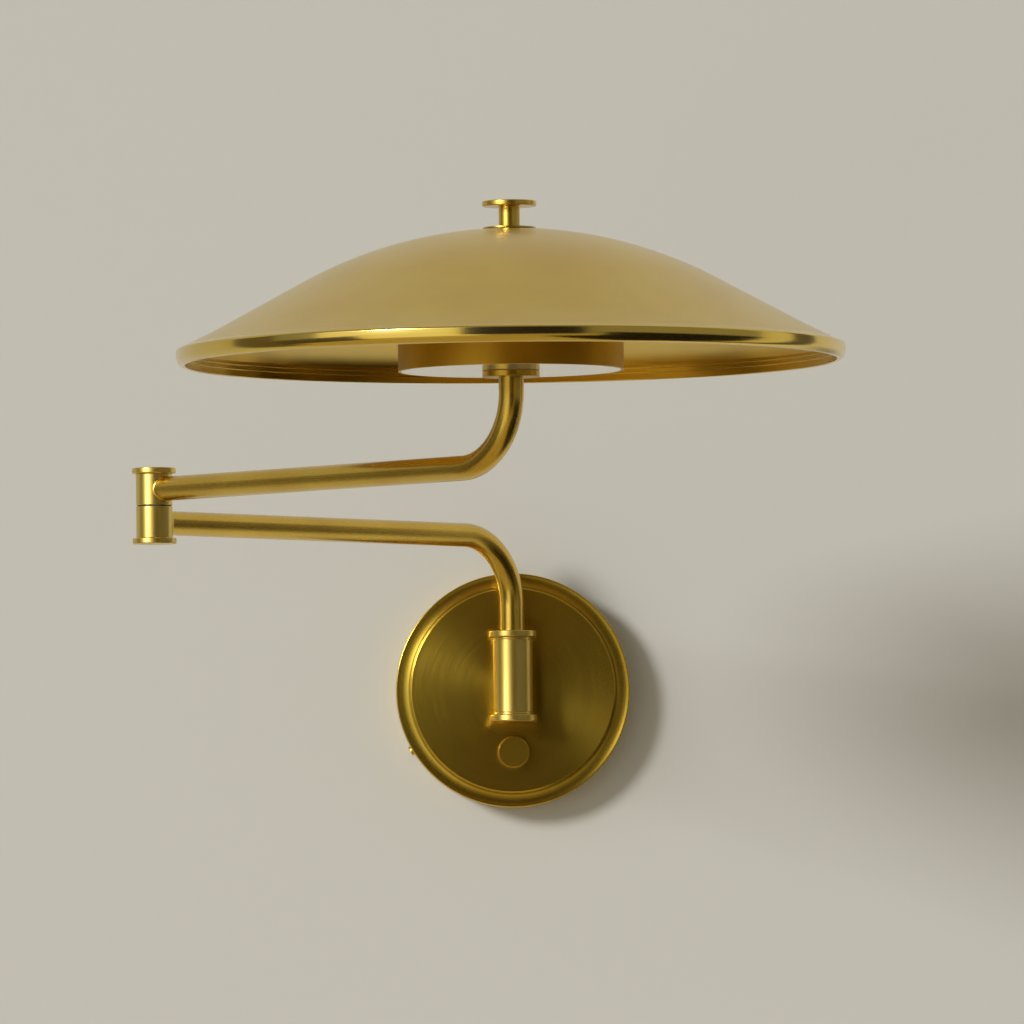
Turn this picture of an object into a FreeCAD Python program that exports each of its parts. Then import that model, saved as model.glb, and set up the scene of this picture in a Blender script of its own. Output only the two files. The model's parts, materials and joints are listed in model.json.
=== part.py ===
import FreeCAD, Part
import math
import os

import Sketcher

# Swing-arm wall light in brass: a round wall canopy carries an upright barrel, two bent tubes
# fold at an elbow between them, and a shallow domed shade sits over a round lamp drum.
# Millimetres. The origin is the canopy's centre on the wall, +Z is up and +Y goes into the wall.

doc = FreeCAD.newDocument("swing_arm_wall_light")
dim = doc.addObject("Spreadsheet::Sheet", "dim")

SIZES = [
    ("fit_gap", 0.05, "radial clearance of every turned fit"),
    ("canopy_dia", 127.0, "canopy across"),
    ("canopy_depth", 22.0, "canopy front from the wall"),
    ("canopy_sheet", 1.2, "canopy sheet"),
    ("canopy_step", 1.5, "rise of the raised centre"),
    ("canopy_band", 8.0, "rim band round the raised centre"),
    ("band_land", 1.0, "flat foot of the raised centre"),
    ("band_cove", 0.4, "hollow of the rim band"),
    ("plate_sheet", 1.6, "mounting plate sheet"),
    ("plate_flange", 12.0, "mounting plate depth"),
    ("plate_gap", 0.3, "mounting plate inside the canopy"),
    ("slot_spacing", 88.9, "box screw slots, centre to centre"),
    ("slot_width", 4.8, "box screw slot width"),
    ("slot_length", 14.0, "box screw slot, end to end"),
    ("supply_hole", 26.0, "hole for the supply wires"),
    ("side_screw_dia", 4.0, "canopy side screw thread"),
    ("side_screw_head", 5.5, "canopy side screw head across"),
    ("side_screw_proud", 1.4, "canopy side screw head height"),
    ("side_screw_length", 7.0, "canopy side screw under its head"),
    ("side_screw_height", 6.0, "canopy side screws from the wall"),
    ("pivot_reach", 38.0, "wall pivot axis from the wall"),
    ("barrel_dia", 21.3, "wall barrel across"),
    ("barrel_end_dia", 25.6, "wall barrel end rings across"),
    ("barrel_end", 3.4, "wall barrel end ring height"),
    ("barrel_top", 31.5, "wall barrel top above the canopy centre"),
    ("barrel_below", 17.4, "wall barrel bottom below the canopy centre"),
    ("barrel_bore", 17.0, "wall barrel bore round the bushes"),
    ("chamber_bore", 11.0, "wire chamber in the wall barrel"),
    ("chamber_top", 7.0, "bush seat above the canopy centre"),
    ("plug_depth", 3.5, "end plugs and ring skirts inside their barrels"),
    ("bush_height", 8.0, "wall pivot bushes, each"),
    ("thrust_ring", 2.0, "thrust ring on the arm's spigot"),
    ("spigot_end", 8.0, "foot of the lower tube above the canopy centre"),
    ("nipple_dia", 10.0, "hollow threaded rods across"),
    ("nipple_bore", 6.6, "hollow threaded rod bore"),
    ("nipple_tail", 3.0, "threaded rod past its nut"),
    ("spacer_dia", 17.0, "spacer between canopy and barrel"),
    ("washer_dia", 18.0, "canopy washer across"),
    ("washer_sheet", 1.2, "washer thickness"),
    ("nut_flats", 14.0, "threaded rod nuts across flats"),
    ("nut_height", 4.0, "threaded rod nut height"),
    ("knob_dia", 17.5, "dimmer knob across"),
    ("knob_height", 7.4, "dimmer knob height"),
    ("knob_lift", 0.6, "dimmer knob clear of the canopy"),
    ("knob_drop", 33.8, "dimmer below the canopy centre"),
    ("knob_face", 1.2, "dimmer knob front thickness"),
    ("nut_room", 0.95, "knob recess over the dimmer nut"),
    ("nut_gap", 0.3, "knob recess round the dimmer nut"),
    ("knurl_depth", 0.35, "knurl groove depth"),
    ("knurl_count", 44, "knurl grooves round the knob"),
    ("shaft_dia", 4.0, "dimmer shaft"),
    ("dimmer_bush", 7.0, "dimmer's threaded bush"),
    ("dimmer_width", 18.0, "dimmer body width"),
    ("dimmer_deep", 9.0, "dimmer body depth"),
    ("dimmer_nut", 2.0, "dimmer nut height"),
    ("dimmer_flats", 9.5, "dimmer nut across flats"),
    ("grub_dia", 3.0, "knob grub screw"),
    ("grub_inset", 1.05, "knob grub screw inside the knurl"),
    ("driver_width", 52.0, "lamp driver width"),
    ("driver_height", 20.0, "lamp driver height"),
    ("driver_deep", 13.0, "lamp driver depth"),
    ("driver_lift", 31.0, "lamp driver above the canopy centre"),
    ("driver_ear", 7.0, "lamp driver ears, each"),
    ("ear_sheet", 1.6, "lamp driver ear thickness"),
    ("small_screw_dia", 3.0, "driver and board screws"),
    ("small_screw_head", 5.5, "driver and board screw heads"),
    ("small_head_height", 1.6, "driver and board screw head height"),
    ("block_width", 20.0, "terminal block width"),
    ("block_height", 9.0, "terminal block height"),
    ("block_deep", 9.0, "terminal block depth"),
    ("block_side", 26.0, "terminal block and earth screw to the side"),
    ("block_drop", 19.0, "terminal block and earth screw below the centre"),
    ("block_way", 3.4, "terminal block wire ways"),
    ("earth_head", 8.0, "earth screw head across"),
    ("tube_dia", 12.7, "arm tube across"),
    ("tube_bore", 10.3, "arm tube bore"),
    ("bend_radius", 37.0, "arm tube bend, to the centre line"),
    ("arm_length", 275.0, "each arm, axis to axis"),
    ("arm_angle", 47.2, "each arm from the wall's plane, in degrees"),
    ("lower_arm_height", 82.5, "lower arm above the canopy centre"),
    ("upper_arm_height", 99.8, "upper arm above the canopy centre"),
    ("lead_dia", 3.6, "lead inside the arms"),
    ("lead_bend", 4.0, "lead's turn up into the elbow"),
    ("lead_room", 0.25, "room round the lead in its holes"),
    ("grommet_height", 5.0, "grommet in the spigot"),
    ("elbow_dia", 19.05, "elbow barrels across"),
    ("elbow_cap_dia", 23.0, "elbow end caps across"),
    ("elbow_cap", 3.0, "elbow end cap height"),
    ("arm_margin", 1.9, "arm tube to the elbow's cap"),
    ("elbow_bore", 15.2, "elbow barrel bores"),
    ("lower_web", 4.0, "web in the lower elbow barrel"),
    ("upper_web", 6.0, "web in the upper elbow barrel"),
    ("friction_washer", 0.6, "friction washer in the seam"),
    ("washer_inset", 0.6, "friction washer inside the elbow's face"),
    ("stud_flange", 1.5, "stud flange under the web"),
    ("stud_flange_dia", 13.0, "stud flange across"),
    ("stud_bore", 7.2, "elbow stud bore"),
    ("elbow_bush_dia", 12.4, "elbow bush across"),
    ("disc_spring", 1.2, "disc spring height"),
    ("disc_spring_dia", 14.4, "disc spring and its washer across"),
    ("elbow_flats", 12.6, "elbow nut across flats"),
    ("collar_dia", 29.0, "seat collar across"),
    ("collar_height", 3.2, "seat collar height"),
    ("stem_rise", 47.4, "lamp drum's lip above the upper arm"),
    ("drum_dia", 114.0, "lamp drum across"),
    ("drum_height", 30.0, "lamp drum height"),
    ("drum_sheet", 1.2, "lamp drum sheet"),
    ("diffuser_sheet", 3.0, "diffuser thickness"),
    ("diffuser_gap", 0.2, "diffuser inside the drum"),
    ("sink_sheet", 3.0, "heat plate thickness"),
    ("sink_dia", 108.0, "heat plate across"),
    ("board_sheet", 1.6, "lamp board thickness"),
    ("board_dia", 102.0, "lamp board across"),
    ("board_hole", 20.0, "lamp board centre hole"),
    ("chip_width", 2.8, "lamp chips across"),
    ("chip_height", 0.8, "lamp chip height"),
    ("inner_chip_ring", 26.0, "inner ring of lamp chips, radius"),
    ("outer_chip_ring", 44.0, "outer ring of lamp chips, radius"),
    ("board_screw_ring", 35.0, "board screws, radius"),
    ("post_dia", 16.0, "posts round the threaded rod"),
    ("drum_nut_flats", 17.0, "drum nut across flats"),
    ("shade_rise", 71.8, "shade top above the lamp drum's lip"),
    ("shade_sheet", 1.2, "shade sheet"),
    ("dome_radius", 220.0, "sphere of the shade's middle"),
    ("dome_reach", 105.0, "radius where the sphere becomes a cone"),
    ("cone_reach", 145.0, "radius where the cone begins to flare"),
    ("shade_reach", 165.6, "radius where the sheet meets its rim"),
    ("flare_slope", 24.5, "slope at the rim, in degrees"),
    ("rim_swell", 3.4, "shade rim, out from the edge of the sheet"),
    ("rim_height", 9.2, "shade rim height"),
    ("rim_lip", 1.8, "shade rim's lower lip"),
    ("rim_tuck", 0.6, "shade rim's lower lip outside the sheet"),
    ("finial_foot_dia", 27.0, "finial's foot washer across"),
    ("finial_foot", 1.2, "finial's foot washer height"),
    ("finial_stem", 10.8, "finial stem across"),
    ("finial_height", 12.9, "finial above its washer"),
    ("finial_cap_dia", 27.5, "finial cap across"),
    ("finial_cap", 2.7, "finial cap height"),
    ("finial_wall", 1.0, "finial left over the threaded rod"),
]

for row, (alias, value, words) in enumerate(SIZES, start=1):
    dim.set(f"A{row}", words)
    dim.set(f"B{row}", str(value))
    dim.setAlias(f"B{row}", alias)
doc.recompute()

pieces = []
FACING = FreeCAD.Rotation(FreeCAD.Vector(1, 0, 0), 90)
UP = FreeCAD.Vector(0, 0, 1)


def number(formula):
    """The present value of a formula in the sheet's names."""
    return float(dim.evalExpression(formula))


def start_body(label):
    body = doc.addObject("PartDesign::Body", label)
    body.Label = label
    return body


def sketch_on(body, role):
    plane = [feature for feature in body.Origin.OriginFeatures if feature.Role == role][0]
    sketch = body.newObject("Sketcher::SketchObject", body.Label + "_sketch")
    sketch.AttachmentSupport = [(plane, "")]
    sketch.MapMode = "FlatFace"
    return sketch


def bind(sketch, constraint, formula):
    index = sketch.addConstraint(constraint)
    sketch.setExpression(f"Constraints[{index}]", formula)


def pin_point(sketch, element, point, x, y):
    """Tie a sketch point to its distances from the sketch's origin."""
    for kind, axis, formula in (("DistanceX", -2, x), ("DistanceY", -1, y)):
        distance = number(formula)
        if abs(distance) < 1e-9:
            sketch.addConstraint(Sketcher.Constraint("PointOnObject", element, point, axis))
        elif distance > 0:
            bind(sketch, Sketcher.Constraint(kind, -1, 1, element, point, distance), formula)
        else:
            bind(sketch, Sketcher.Constraint(kind, element, point, -1, 1, -distance), f"-({formula})")


def arc_between(start, end, radius, side):
    """The short arc from start to end whose centre lies to the left (1) or right (-1)."""
    chord = end.sub(start)
    rise = math.sqrt(max(radius ** 2 - (chord.Length / 2) ** 2, 0.0))
    normal = FreeCAD.Vector(-chord.y, chord.x, 0).normalize()
    centre = start.add(chord * 0.5).add(normal * (rise * side))
    first, last = (start, end) if side > 0 else (end, start)
    angles = [math.atan2(point.y - centre.y, point.x - centre.x) for point in (first, last)]
    return Part.ArcOfCircle(Part.Circle(centre, UP, radius), angles[0], angles[1])


def draw(sketch, corners, closed=True):
    """Draw lines and arcs through corners (x, y), or (x, y, radius, side) where an arc leaves."""
    places = [FreeCAD.Vector(number(corner[0]), number(corner[1]), 0) for corner in corners]
    count = len(corners) if closed else len(corners) - 1
    ends = []
    for index in range(count):
        corner = corners[index]
        start = places[index]
        end = places[(index + 1) % len(corners)]
        if len(corner) == 2:
            element = sketch.addGeometry(Part.LineSegment(start, end), False)
            ends.append((element, 1, 2))
            continue
        side = corner[3]
        radius = number(corner[2])
        element = sketch.addGeometry(arc_between(start, end, radius, side), False)
        ends.append((element, 1, 2) if side > 0 else (element, 2, 1))
        bind(sketch, Sketcher.Constraint("Radius", element, radius), corner[2])
    for index, (element, start, end) in enumerate(ends):
        pin_point(sketch, element, start, corners[index][0], corners[index][1])
        follower = index + 1
        if follower == len(ends) and not closed:
            pin_point(sketch, element, end, corners[-1][0], corners[-1][1])
            continue
        after, after_start, _ = ends[follower % len(ends)]
        sketch.addConstraint(Sketcher.Constraint("Coincident", element, end, after, after_start))


def draw_circle(sketch, x, y, radius):
    centre = FreeCAD.Vector(number(x), number(y), 0)
    element = sketch.addGeometry(Part.Circle(centre, UP, number(radius)), False)
    bind(sketch, Sketcher.Constraint("Radius", element, number(radius)), radius)
    pin_point(sketch, element, 3, x, y)


def draw_box(sketch, x, y, width, height):
    left, right = f"{x} - {width} / 2", f"{x} + {width} / 2"
    low, high = f"{y} - {height} / 2", f"{y} + {height} / 2"
    draw(sketch, [(left, low), (right, low), (right, high), (left, high)])


def place(piece, x="0", y="0", z="0", rotation=None, turn=None):
    """Stand a piece at x, y, z, turned as a whole or about the upright by an angle formula."""
    if rotation is not None:
        piece.Placement = FreeCAD.Placement(FreeCAD.Vector(0, 0, 0), rotation)
    if turn is not None:
        piece.Placement = FreeCAD.Placement(FreeCAD.Vector(0, 0, 0), FreeCAD.Rotation(UP, number(turn)))
        piece.setExpression("Placement.Rotation.Angle", turn)
    for axis, formula in (("x", x), ("y", y), ("z", z)):
        piece.setExpression(f"Placement.Base.{axis}", formula)


def revolve(body, corners):
    sketch = sketch_on(body, "XZ_Plane")
    draw(sketch, corners)
    feature = body.newObject("PartDesign::Revolution", body.Label + "_turned")
    feature.Profile = sketch
    feature.ReferenceAxis = (sketch, ["V_Axis"])
    feature.Angle = 360
    return feature


def pad(body, sketch, length):
    feature = body.newObject("PartDesign::Pad", body.Label + "_pad")
    feature.Profile = sketch
    feature.setExpression("Length", length)
    return feature


def cut_through(body, sketch):
    """Cut a sketch through the whole body, both ways from its plane."""
    feature = body.newObject("PartDesign::Pocket", body.Label + "_cut")
    feature.Profile = sketch
    feature.SideType = "Symmetric"
    feature.Type = "ThroughAll"
    return feature


def cut_one_way(body, sketch, length, reverse=False):
    feature = body.newObject("PartDesign::Pocket", body.Label + "_cut")
    feature.Profile = sketch
    feature.Reversed = reverse
    feature.setExpression("Length", length)
    return feature


def repeat_round(body, feature, count, formula=None, spread=360):
    """Repeat a feature evenly over a spread of degrees round the body's own Z axis."""
    axis = [item for item in body.Origin.OriginFeatures if item.Role == "Z_Axis"][0]
    pattern = body.newObject("PartDesign::PolarPattern", body.Label + "_pattern")
    pattern.Originals = [feature]
    pattern.Axis = (axis, [""])
    pattern.Angle = spread
    pattern.Occurrences = count
    if formula is not None:
        pattern.setExpression("Occurrences", formula)
    body.Tip = pattern
    return pattern


def turned(label, corners, x="0", y="0", z="0", rotation=None, turn=None, keep=True):
    """A piece turned on its own Z axis from its half outline."""
    body = start_body(label)
    revolve(body, corners)
    place(body, x, y, z, rotation, turn)
    if keep:
        pieces.append(body)
    return body


def ring(label, inner, outer, height, x="0", y="0", z="0", rotation=None):
    """A plain ring or tube on its own Z axis."""
    corners = [(inner, "0"), (outer, "0"), (outer, height), (inner, height)]
    return turned(label, corners, x, y, z, rotation)


def capped_plug(label, cap, cap_height, plug, plug_height, x, y, z, upward):
    """An end cap with a plug that enters its barrel: upward where the plug is on top."""
    if upward:
        corners = [("0", "0"), (cap, "0"), (cap, cap_height), (plug, cap_height)]
        corners += [(plug, f"{cap_height} + {plug_height}"), ("0", f"{cap_height} + {plug_height}")]
    else:
        corners = [("0", "0"), (plug, "0"), (plug, plug_height), (cap, plug_height)]
        corners += [(cap, f"{plug_height} + {cap_height}"), ("0", f"{plug_height} + {cap_height}")]
    return turned(label, corners, x, y, z)


def hex_nut(label, flats, hole, height, x="0", y="0", z="0", rotation=None):
    body = start_body(label)
    sketch = sketch_on(body, "XY_Plane")
    corner = f"{flats} / 2 / cos(30)"
    draw(sketch, [(f"{corner} * cos({angle})", f"{corner} * sin({angle})") for angle in range(30, 390, 60)])
    draw_circle(sketch, "0", "0", hole)
    pad(body, sketch, height)
    place(body, x, y, z, rotation)
    pieces.append(body)
    return body


def screw(label, shank, length, head, head_height, **where):
    """A screw whose tip is at its own origin and whose head is on top."""
    top = f"{length} + {head_height}"
    corners = [("0", "0"), (shank, "0"), (shank, length), (head, length), (head, top), ("0", top)]
    return turned(label, corners, keep=False, **where)


def group(label, members):
    """Like pieces that share one name, as separate solids."""
    compound = doc.addObject("Part::Compound", label)
    compound.Label = label
    compound.Links = members
    pieces.append(compound)
    return compound


def bent_rod(label, corners, outer, inner=None):
    """A round rod or tube that follows a path in its own XZ plane from its own origin."""
    body = start_body(label)
    path = sketch_on(body, "XZ_Plane")
    draw(path, corners, closed=False)
    profile = sketch_on(body, "XY_Plane")
    draw_circle(profile, "0", "0", outer)
    if inner is not None:
        draw_circle(profile, "0", "0", inner)
    doc.recompute()
    pipe = body.newObject("PartDesign::AdditivePipe", label + "_pipe")
    pipe.Profile = profile
    pipe.Spine = (path, [f"Edge{index + 1}" for index in range(len(corners) - 1)])
    pieces.append(body)
    return body


# Places and radii that several pieces share
WALL_Y = "-dim.pivot_reach"
ELBOW_X = "-dim.arm_length * cos(dim.arm_angle)"
ELBOW_Y = "-dim.pivot_reach - dim.arm_length * sin(dim.arm_angle)"
STEM_Y = "-dim.pivot_reach - 2 * dim.arm_length * sin(dim.arm_angle)"
CANOPY_R = "dim.canopy_dia / 2"
FRONT_INSIDE = "(dim.canopy_depth - dim.canopy_sheet)"
SIDE_SCREW_ANGLES = (90, 210)
NIPPLE_R = "dim.nipple_dia / 2"
NIPPLE_HOLE = "dim.nipple_dia / 2 + dim.fit_gap"
LEAD_HOLE = "dim.lead_dia / 2 + dim.lead_room"
TUBE_R = "dim.tube_dia / 2"
ELBOW_SEAM = "(dim.lower_arm_height + dim.upper_arm_height) / 2"
ARM_HALF = f"(dim.upper_arm_height - dim.lower_arm_height) / 2 + {TUBE_R} + dim.arm_margin"
STUD_HALF = ("dim.friction_washer / 2 + dim.upper_web + dim.washer_sheet + dim.disc_spring"
             " + dim.nut_height + 2 * dim.fit_gap + dim.plug_depth")
ELBOW_HALF = f"max({ARM_HALF}; {STUD_HALF})"
ELBOW_TOP = f"{ELBOW_SEAM} + {ELBOW_HALF}"
ELBOW_FLOOR = f"{ELBOW_SEAM} - {ELBOW_HALF}"


def make_mounting_plate():
    outer = f"{CANOPY_R} - dim.canopy_sheet - dim.plate_gap"
    inner = f"{outer} - dim.plate_sheet"
    hole = "dim.supply_hole / 2"
    plate = turned("mounting_plate", [
        (hole, "0"), (outer, "0"), (outer, "dim.plate_flange"), (inner, "dim.plate_flange"),
        (inner, "dim.plate_sheet"), (hole, "dim.plate_sheet")], rotation=FACING)
    slots = sketch_on(plate, "XY_Plane")
    half = "dim.slot_width / 2"
    for hand in ("", "-"):
        middle = f"{hand}dim.slot_spacing / 2"
        far = f"{middle} + dim.slot_length / 2"
        near = f"{middle} - dim.slot_length / 2"
        draw(slots, [
            (f"{near} + {half}", f"-{half}"), (f"{far} - {half}", f"-{half}", half, 1),
            (far, "0", half, 1), (f"{far} - {half}", half),
            (f"{near} + {half}", half, half, 1), (near, "0", half, 1)])
    cut_through(plate, slots)
    for side in ("-", ""):
        driver_hole = sketch_on(plate, "XY_Plane")
        draw_circle(driver_hole, f"{side}(dim.driver_width + dim.driver_ear) / 2", "dim.driver_lift",
                    "dim.small_screw_dia / 2 + dim.fit_gap")
        cut_through(plate, driver_hole)
    earth_hole = sketch_on(plate, "XY_Plane")
    draw_circle(earth_hole, "dim.block_side", "-dim.block_drop", "dim.side_screw_dia / 2 + dim.fit_gap")
    cut_through(plate, earth_hole)
    cut_side_holes(plate)


def cut_side_holes(body):
    """Holes for the canopy's side screws, one at the top and one at eight o'clock."""
    sketch = sketch_on(body, "XZ_Plane")
    draw_circle(sketch, "0", "dim.side_screw_height", "dim.side_screw_dia / 2 + dim.fit_gap")
    first, last = SIDE_SCREW_ANGLES
    repeat_round(body, cut_one_way(body, sketch, "dim.canopy_dia"), 2, spread=last - first)


def make_canopy():
    raised = "dim.canopy_dia / 2 - dim.canopy_band"
    foot = "dim.canopy_depth - dim.canopy_step"
    band = "(dim.canopy_band - dim.band_land)"
    band_round = f"({band} ^ 2 / 4 + dim.band_cove ^ 2) / (2 * dim.band_cove)"
    band_inside = f"{foot} - dim.canopy_sheet - dim.band_cove"
    inside = f"{raised} - dim.canopy_sheet"
    canopy = turned("canopy", [
        (CANOPY_R, "0"), (CANOPY_R, foot, band_round, -1), (f"{raised} + dim.band_land", foot),
        (raised, foot), (raised, "dim.canopy_depth"), (NIPPLE_HOLE, "dim.canopy_depth"),
        (NIPPLE_HOLE, FRONT_INSIDE), (inside, FRONT_INSIDE), (inside, band_inside),
        (f"{CANOPY_R} - dim.canopy_sheet", band_inside),
        (f"{CANOPY_R} - dim.canopy_sheet", "0")], rotation=FACING)
    dimmer_hole = sketch_on(canopy, "XY_Plane")
    draw_circle(dimmer_hole, "0", "-dim.knob_drop", "dim.dimmer_bush / 2 + dim.fit_gap")
    cut_through(canopy, dimmer_hole)
    cut_side_holes(canopy)


def make_side_screws():
    screws = []
    for angle in SIDE_SCREW_ANGLES:
        outward = FreeCAD.Vector(math.cos(math.radians(angle)), 0, math.sin(math.radians(angle)))
        tip = f"({CANOPY_R} - dim.side_screw_length)"
        screws.append(screw(
            f"canopy_side_screw_{angle}", "dim.side_screw_dia / 2", "dim.side_screw_length",
            "dim.side_screw_head / 2", "dim.side_screw_proud",
            x=f"{tip} * cos({angle})", y="-dim.side_screw_height", z=f"{tip} * sin({angle})",
            rotation=FreeCAD.Rotation(UP, outward)))
    group("canopy_side_screws", screws)


def make_barrel_fixing():
    washer_back = f"{FRONT_INSIDE} - dim.washer_sheet"
    nut_back = f"{washer_back} - dim.nut_height"
    rod_back = f"({nut_back} - dim.nipple_tail)"
    rod_front = "(dim.pivot_reach - dim.chamber_bore / 2 - dim.fit_gap)"
    ring("barrel_nipple", "dim.nipple_bore / 2", NIPPLE_R, f"{rod_front} - {rod_back}",
         y=f"-{rod_back}", rotation=FACING)
    spacer = ring("nipple_spacer", NIPPLE_HOLE, "dim.spacer_dia / 2", "dim.pivot_reach - dim.canopy_depth",
                  y="-dim.canopy_depth", rotation=FACING)
    saddle = sketch_on(spacer, "XZ_Plane")
    draw_circle(saddle, "0", "dim.pivot_reach - dim.canopy_depth", "dim.barrel_dia / 2")
    cut_through(spacer, saddle)
    ring("nipple_washer", NIPPLE_HOLE, "dim.washer_dia / 2", "dim.washer_sheet",
         y=f"-({washer_back})", rotation=FACING)
    hex_nut("nipple_nut", "dim.nut_flats", NIPPLE_HOLE, "dim.nut_height", y=f"-({nut_back})", rotation=FACING)


def make_wall_barrel():
    foot = "dim.barrel_below - dim.barrel_end"
    length = "dim.barrel_top + dim.barrel_below - 2 * dim.barrel_end"
    seat = f"dim.chamber_top + {foot}"
    chamber = "dim.chamber_bore / 2"
    bore = "dim.barrel_bore / 2"
    barrel = turned("wall_barrel", [
        (chamber, "0"), ("dim.barrel_dia / 2", "0"), ("dim.barrel_dia / 2", length), (bore, length),
        (bore, seat), (chamber, seat)], y=WALL_Y, z=f"-({foot})")
    entry = sketch_on(barrel, "XZ_Plane")
    draw_circle(entry, "0", foot, NIPPLE_HOLE)
    cut_one_way(barrel, entry, "dim.barrel_dia")
    capped_plug("barrel_bottom_cap", "dim.barrel_end_dia / 2", "dim.barrel_end",
                f"{chamber} - dim.fit_gap", "dim.plug_depth", "0", WALL_Y, "-dim.barrel_below", True)
    hole = f"{TUBE_R} + dim.lead_room"
    skirt = f"{bore} - dim.fit_gap"
    top = "dim.plug_depth + dim.barrel_end"
    turned("barrel_top_ring", [
        (hole, "0"), (skirt, "0"), (skirt, "dim.plug_depth"), ("dim.barrel_end_dia / 2", "dim.plug_depth"),
        ("dim.barrel_end_dia / 2", top), (hole, top)],
        y=WALL_Y, z="dim.barrel_top - dim.barrel_end - dim.plug_depth")
    running = f"{TUBE_R} + dim.fit_gap"
    ring("lower_pivot_bush", running, skirt, "dim.bush_height", y=WALL_Y, z="dim.chamber_top")
    thrust_top = "dim.chamber_top + dim.bush_height + dim.thrust_ring + 2 * dim.fit_gap"
    ring("upper_pivot_bush", running, skirt,
         f"dim.barrel_top - dim.barrel_end - dim.plug_depth - ({thrust_top})", y=WALL_Y, z=thrust_top)
    ring("spigot_thrust_ring", TUBE_R, f"{skirt} - dim.lead_room", "dim.thrust_ring",
         y=WALL_Y, z="dim.chamber_top + dim.bush_height + dim.fit_gap")


def make_dimmer():
    back = f"({FRONT_INSIDE} - dim.dimmer_deep)"
    drop = "-dim.knob_drop"
    body = start_body("dimmer_body")
    case = sketch_on(body, "XY_Plane")
    draw_box(case, "0", "0", "dim.dimmer_width", "dim.dimmer_width")
    pad(body, case, "dim.dimmer_deep")
    bush = sketch_on(body, "XY_Plane")
    draw_circle(bush, "0", "0", "dim.dimmer_bush / 2")
    pad(body, bush, "dim.dimmer_deep + dim.canopy_sheet + dim.dimmer_nut")
    bore = sketch_on(body, "XY_Plane")
    draw_circle(bore, "0", "0", "dim.shaft_dia / 2 + dim.fit_gap")
    cut_through(body, bore)
    place(body, y=f"-{back}", z=drop, rotation=FACING)
    pieces.append(body)
    hex_nut("dimmer_nut", "dim.dimmer_flats", "dim.dimmer_bush / 2 + dim.fit_gap", "dim.dimmer_nut",
            y="-dim.canopy_depth", z=drop, rotation=FACING)
    make_knob(back, drop)


def make_knob(back, drop):
    floor = "(dim.canopy_depth + dim.knob_lift)"
    recess = "dim.dimmer_nut + dim.nut_room"
    recess_r = "dim.dimmer_flats / 2 / cos(30) + dim.nut_gap"
    wall = "dim.knob_height - dim.knob_face"
    bore = "dim.shaft_dia / 2 + dim.fit_gap"
    knob_r = "dim.knob_dia / 2"
    knob = turned("dimmer_knob", [
        (recess_r, "0"), (knob_r, "0"), (knob_r, "dim.knob_height"), ("0", "dim.knob_height"),
        ("0", wall), (bore, wall), (bore, recess), (recess_r, recess)],
        y=f"-{floor}", z=drop, rotation=FACING)
    groove = sketch_on(knob, "XY_Plane")
    deep = "dim.knob_dia / 2 - dim.knurl_depth"
    out = "dim.knob_dia / 2 + dim.knurl_depth"
    spread = "dim.knurl_depth * 2"
    draw(groove, [(deep, "0"), (out, f"-{spread}"), (out, spread)])
    flutes = cut_one_way(knob, groove, f"{wall}", reverse=True)
    repeat_round(knob, flutes, int(number("dim.knurl_count")), "dim.knurl_count")
    grub_z = f"({recess} + {wall}) / 2"
    grub_hole = sketch_on(knob, "XZ_Plane")
    draw_circle(grub_hole, "0", grub_z, "dim.grub_dia / 2 + dim.fit_gap")
    cut_one_way(knob, grub_hole, "dim.knob_dia", reverse=True)
    ring_top = f"{wall} - dim.fit_gap"
    turned("dimmer_shaft", [
        ("0", "0"), ("dim.shaft_dia / 2", "0"),
        ("dim.shaft_dia / 2", f"{floor} + {ring_top} - {back}"), ("0", f"{floor} + {ring_top} - {back}")],
        y=f"-{back}", z=drop, rotation=FACING)
    grub_length = f"{knob_r} - dim.grub_inset - dim.shaft_dia / 2"
    turned("knob_grub_screw", [
        ("0", "0"), ("dim.grub_dia / 2", "0"), ("dim.grub_dia / 2", grub_length), ("0", grub_length)],
        y=f"-({floor} + {grub_z})", z=f"{drop} - {knob_r} + dim.grub_inset")


def make_driver():
    body = start_body("lamp_driver")
    ears = sketch_on(body, "XY_Plane")
    draw_box(ears, "0", "0", "(dim.driver_width + 2 * dim.driver_ear)", "dim.driver_height")
    for side in ("-", ""):
        draw_circle(ears, f"{side}(dim.driver_width + dim.driver_ear) / 2", "0",
                    "dim.small_screw_dia / 2 + dim.fit_gap")
    pad(body, ears, "dim.ear_sheet")
    case = sketch_on(body, "XY_Plane")
    draw_box(case, "0", "0", "dim.driver_width", "dim.driver_height")
    pad(body, case, "dim.driver_deep")
    place(body, y="-dim.plate_sheet", z="dim.driver_lift", rotation=FACING)
    pieces.append(body)
    screws = []
    for name, side in (("left", "-"), ("right", "")):
        screws.append(screw(
            f"driver_screw_{name}", "dim.small_screw_dia / 2", "dim.plate_sheet + dim.ear_sheet",
            "dim.small_screw_head / 2", "dim.small_head_height",
            x=f"{side}(dim.driver_width + dim.driver_ear) / 2", z="dim.driver_lift", rotation=FACING))
    group("driver_screws", screws)


def make_terminals():
    body = start_body("terminal_block")
    case = sketch_on(body, "XY_Plane")
    draw_box(case, "0", "0", "dim.block_width", "dim.block_height")
    pad(body, case, "dim.block_deep")
    ways = sketch_on(body, "XZ_Plane")
    for share in ("-dim.block_width / 3", "0", "dim.block_width / 3"):
        draw_circle(ways, share, "dim.block_deep / 2", "dim.block_way / 2")
    cut_through(body, ways)
    place(body, x="-dim.block_side", y="-dim.plate_sheet", z="-dim.block_drop", rotation=FACING)
    pieces.append(body)
    earth = screw("earth_screw", "dim.side_screw_dia / 2", "dim.plate_sheet", "dim.earth_head / 2",
                  "dim.small_head_height", x="dim.block_side", z="-dim.block_drop", rotation=FACING)
    pieces.append(earth)


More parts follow.
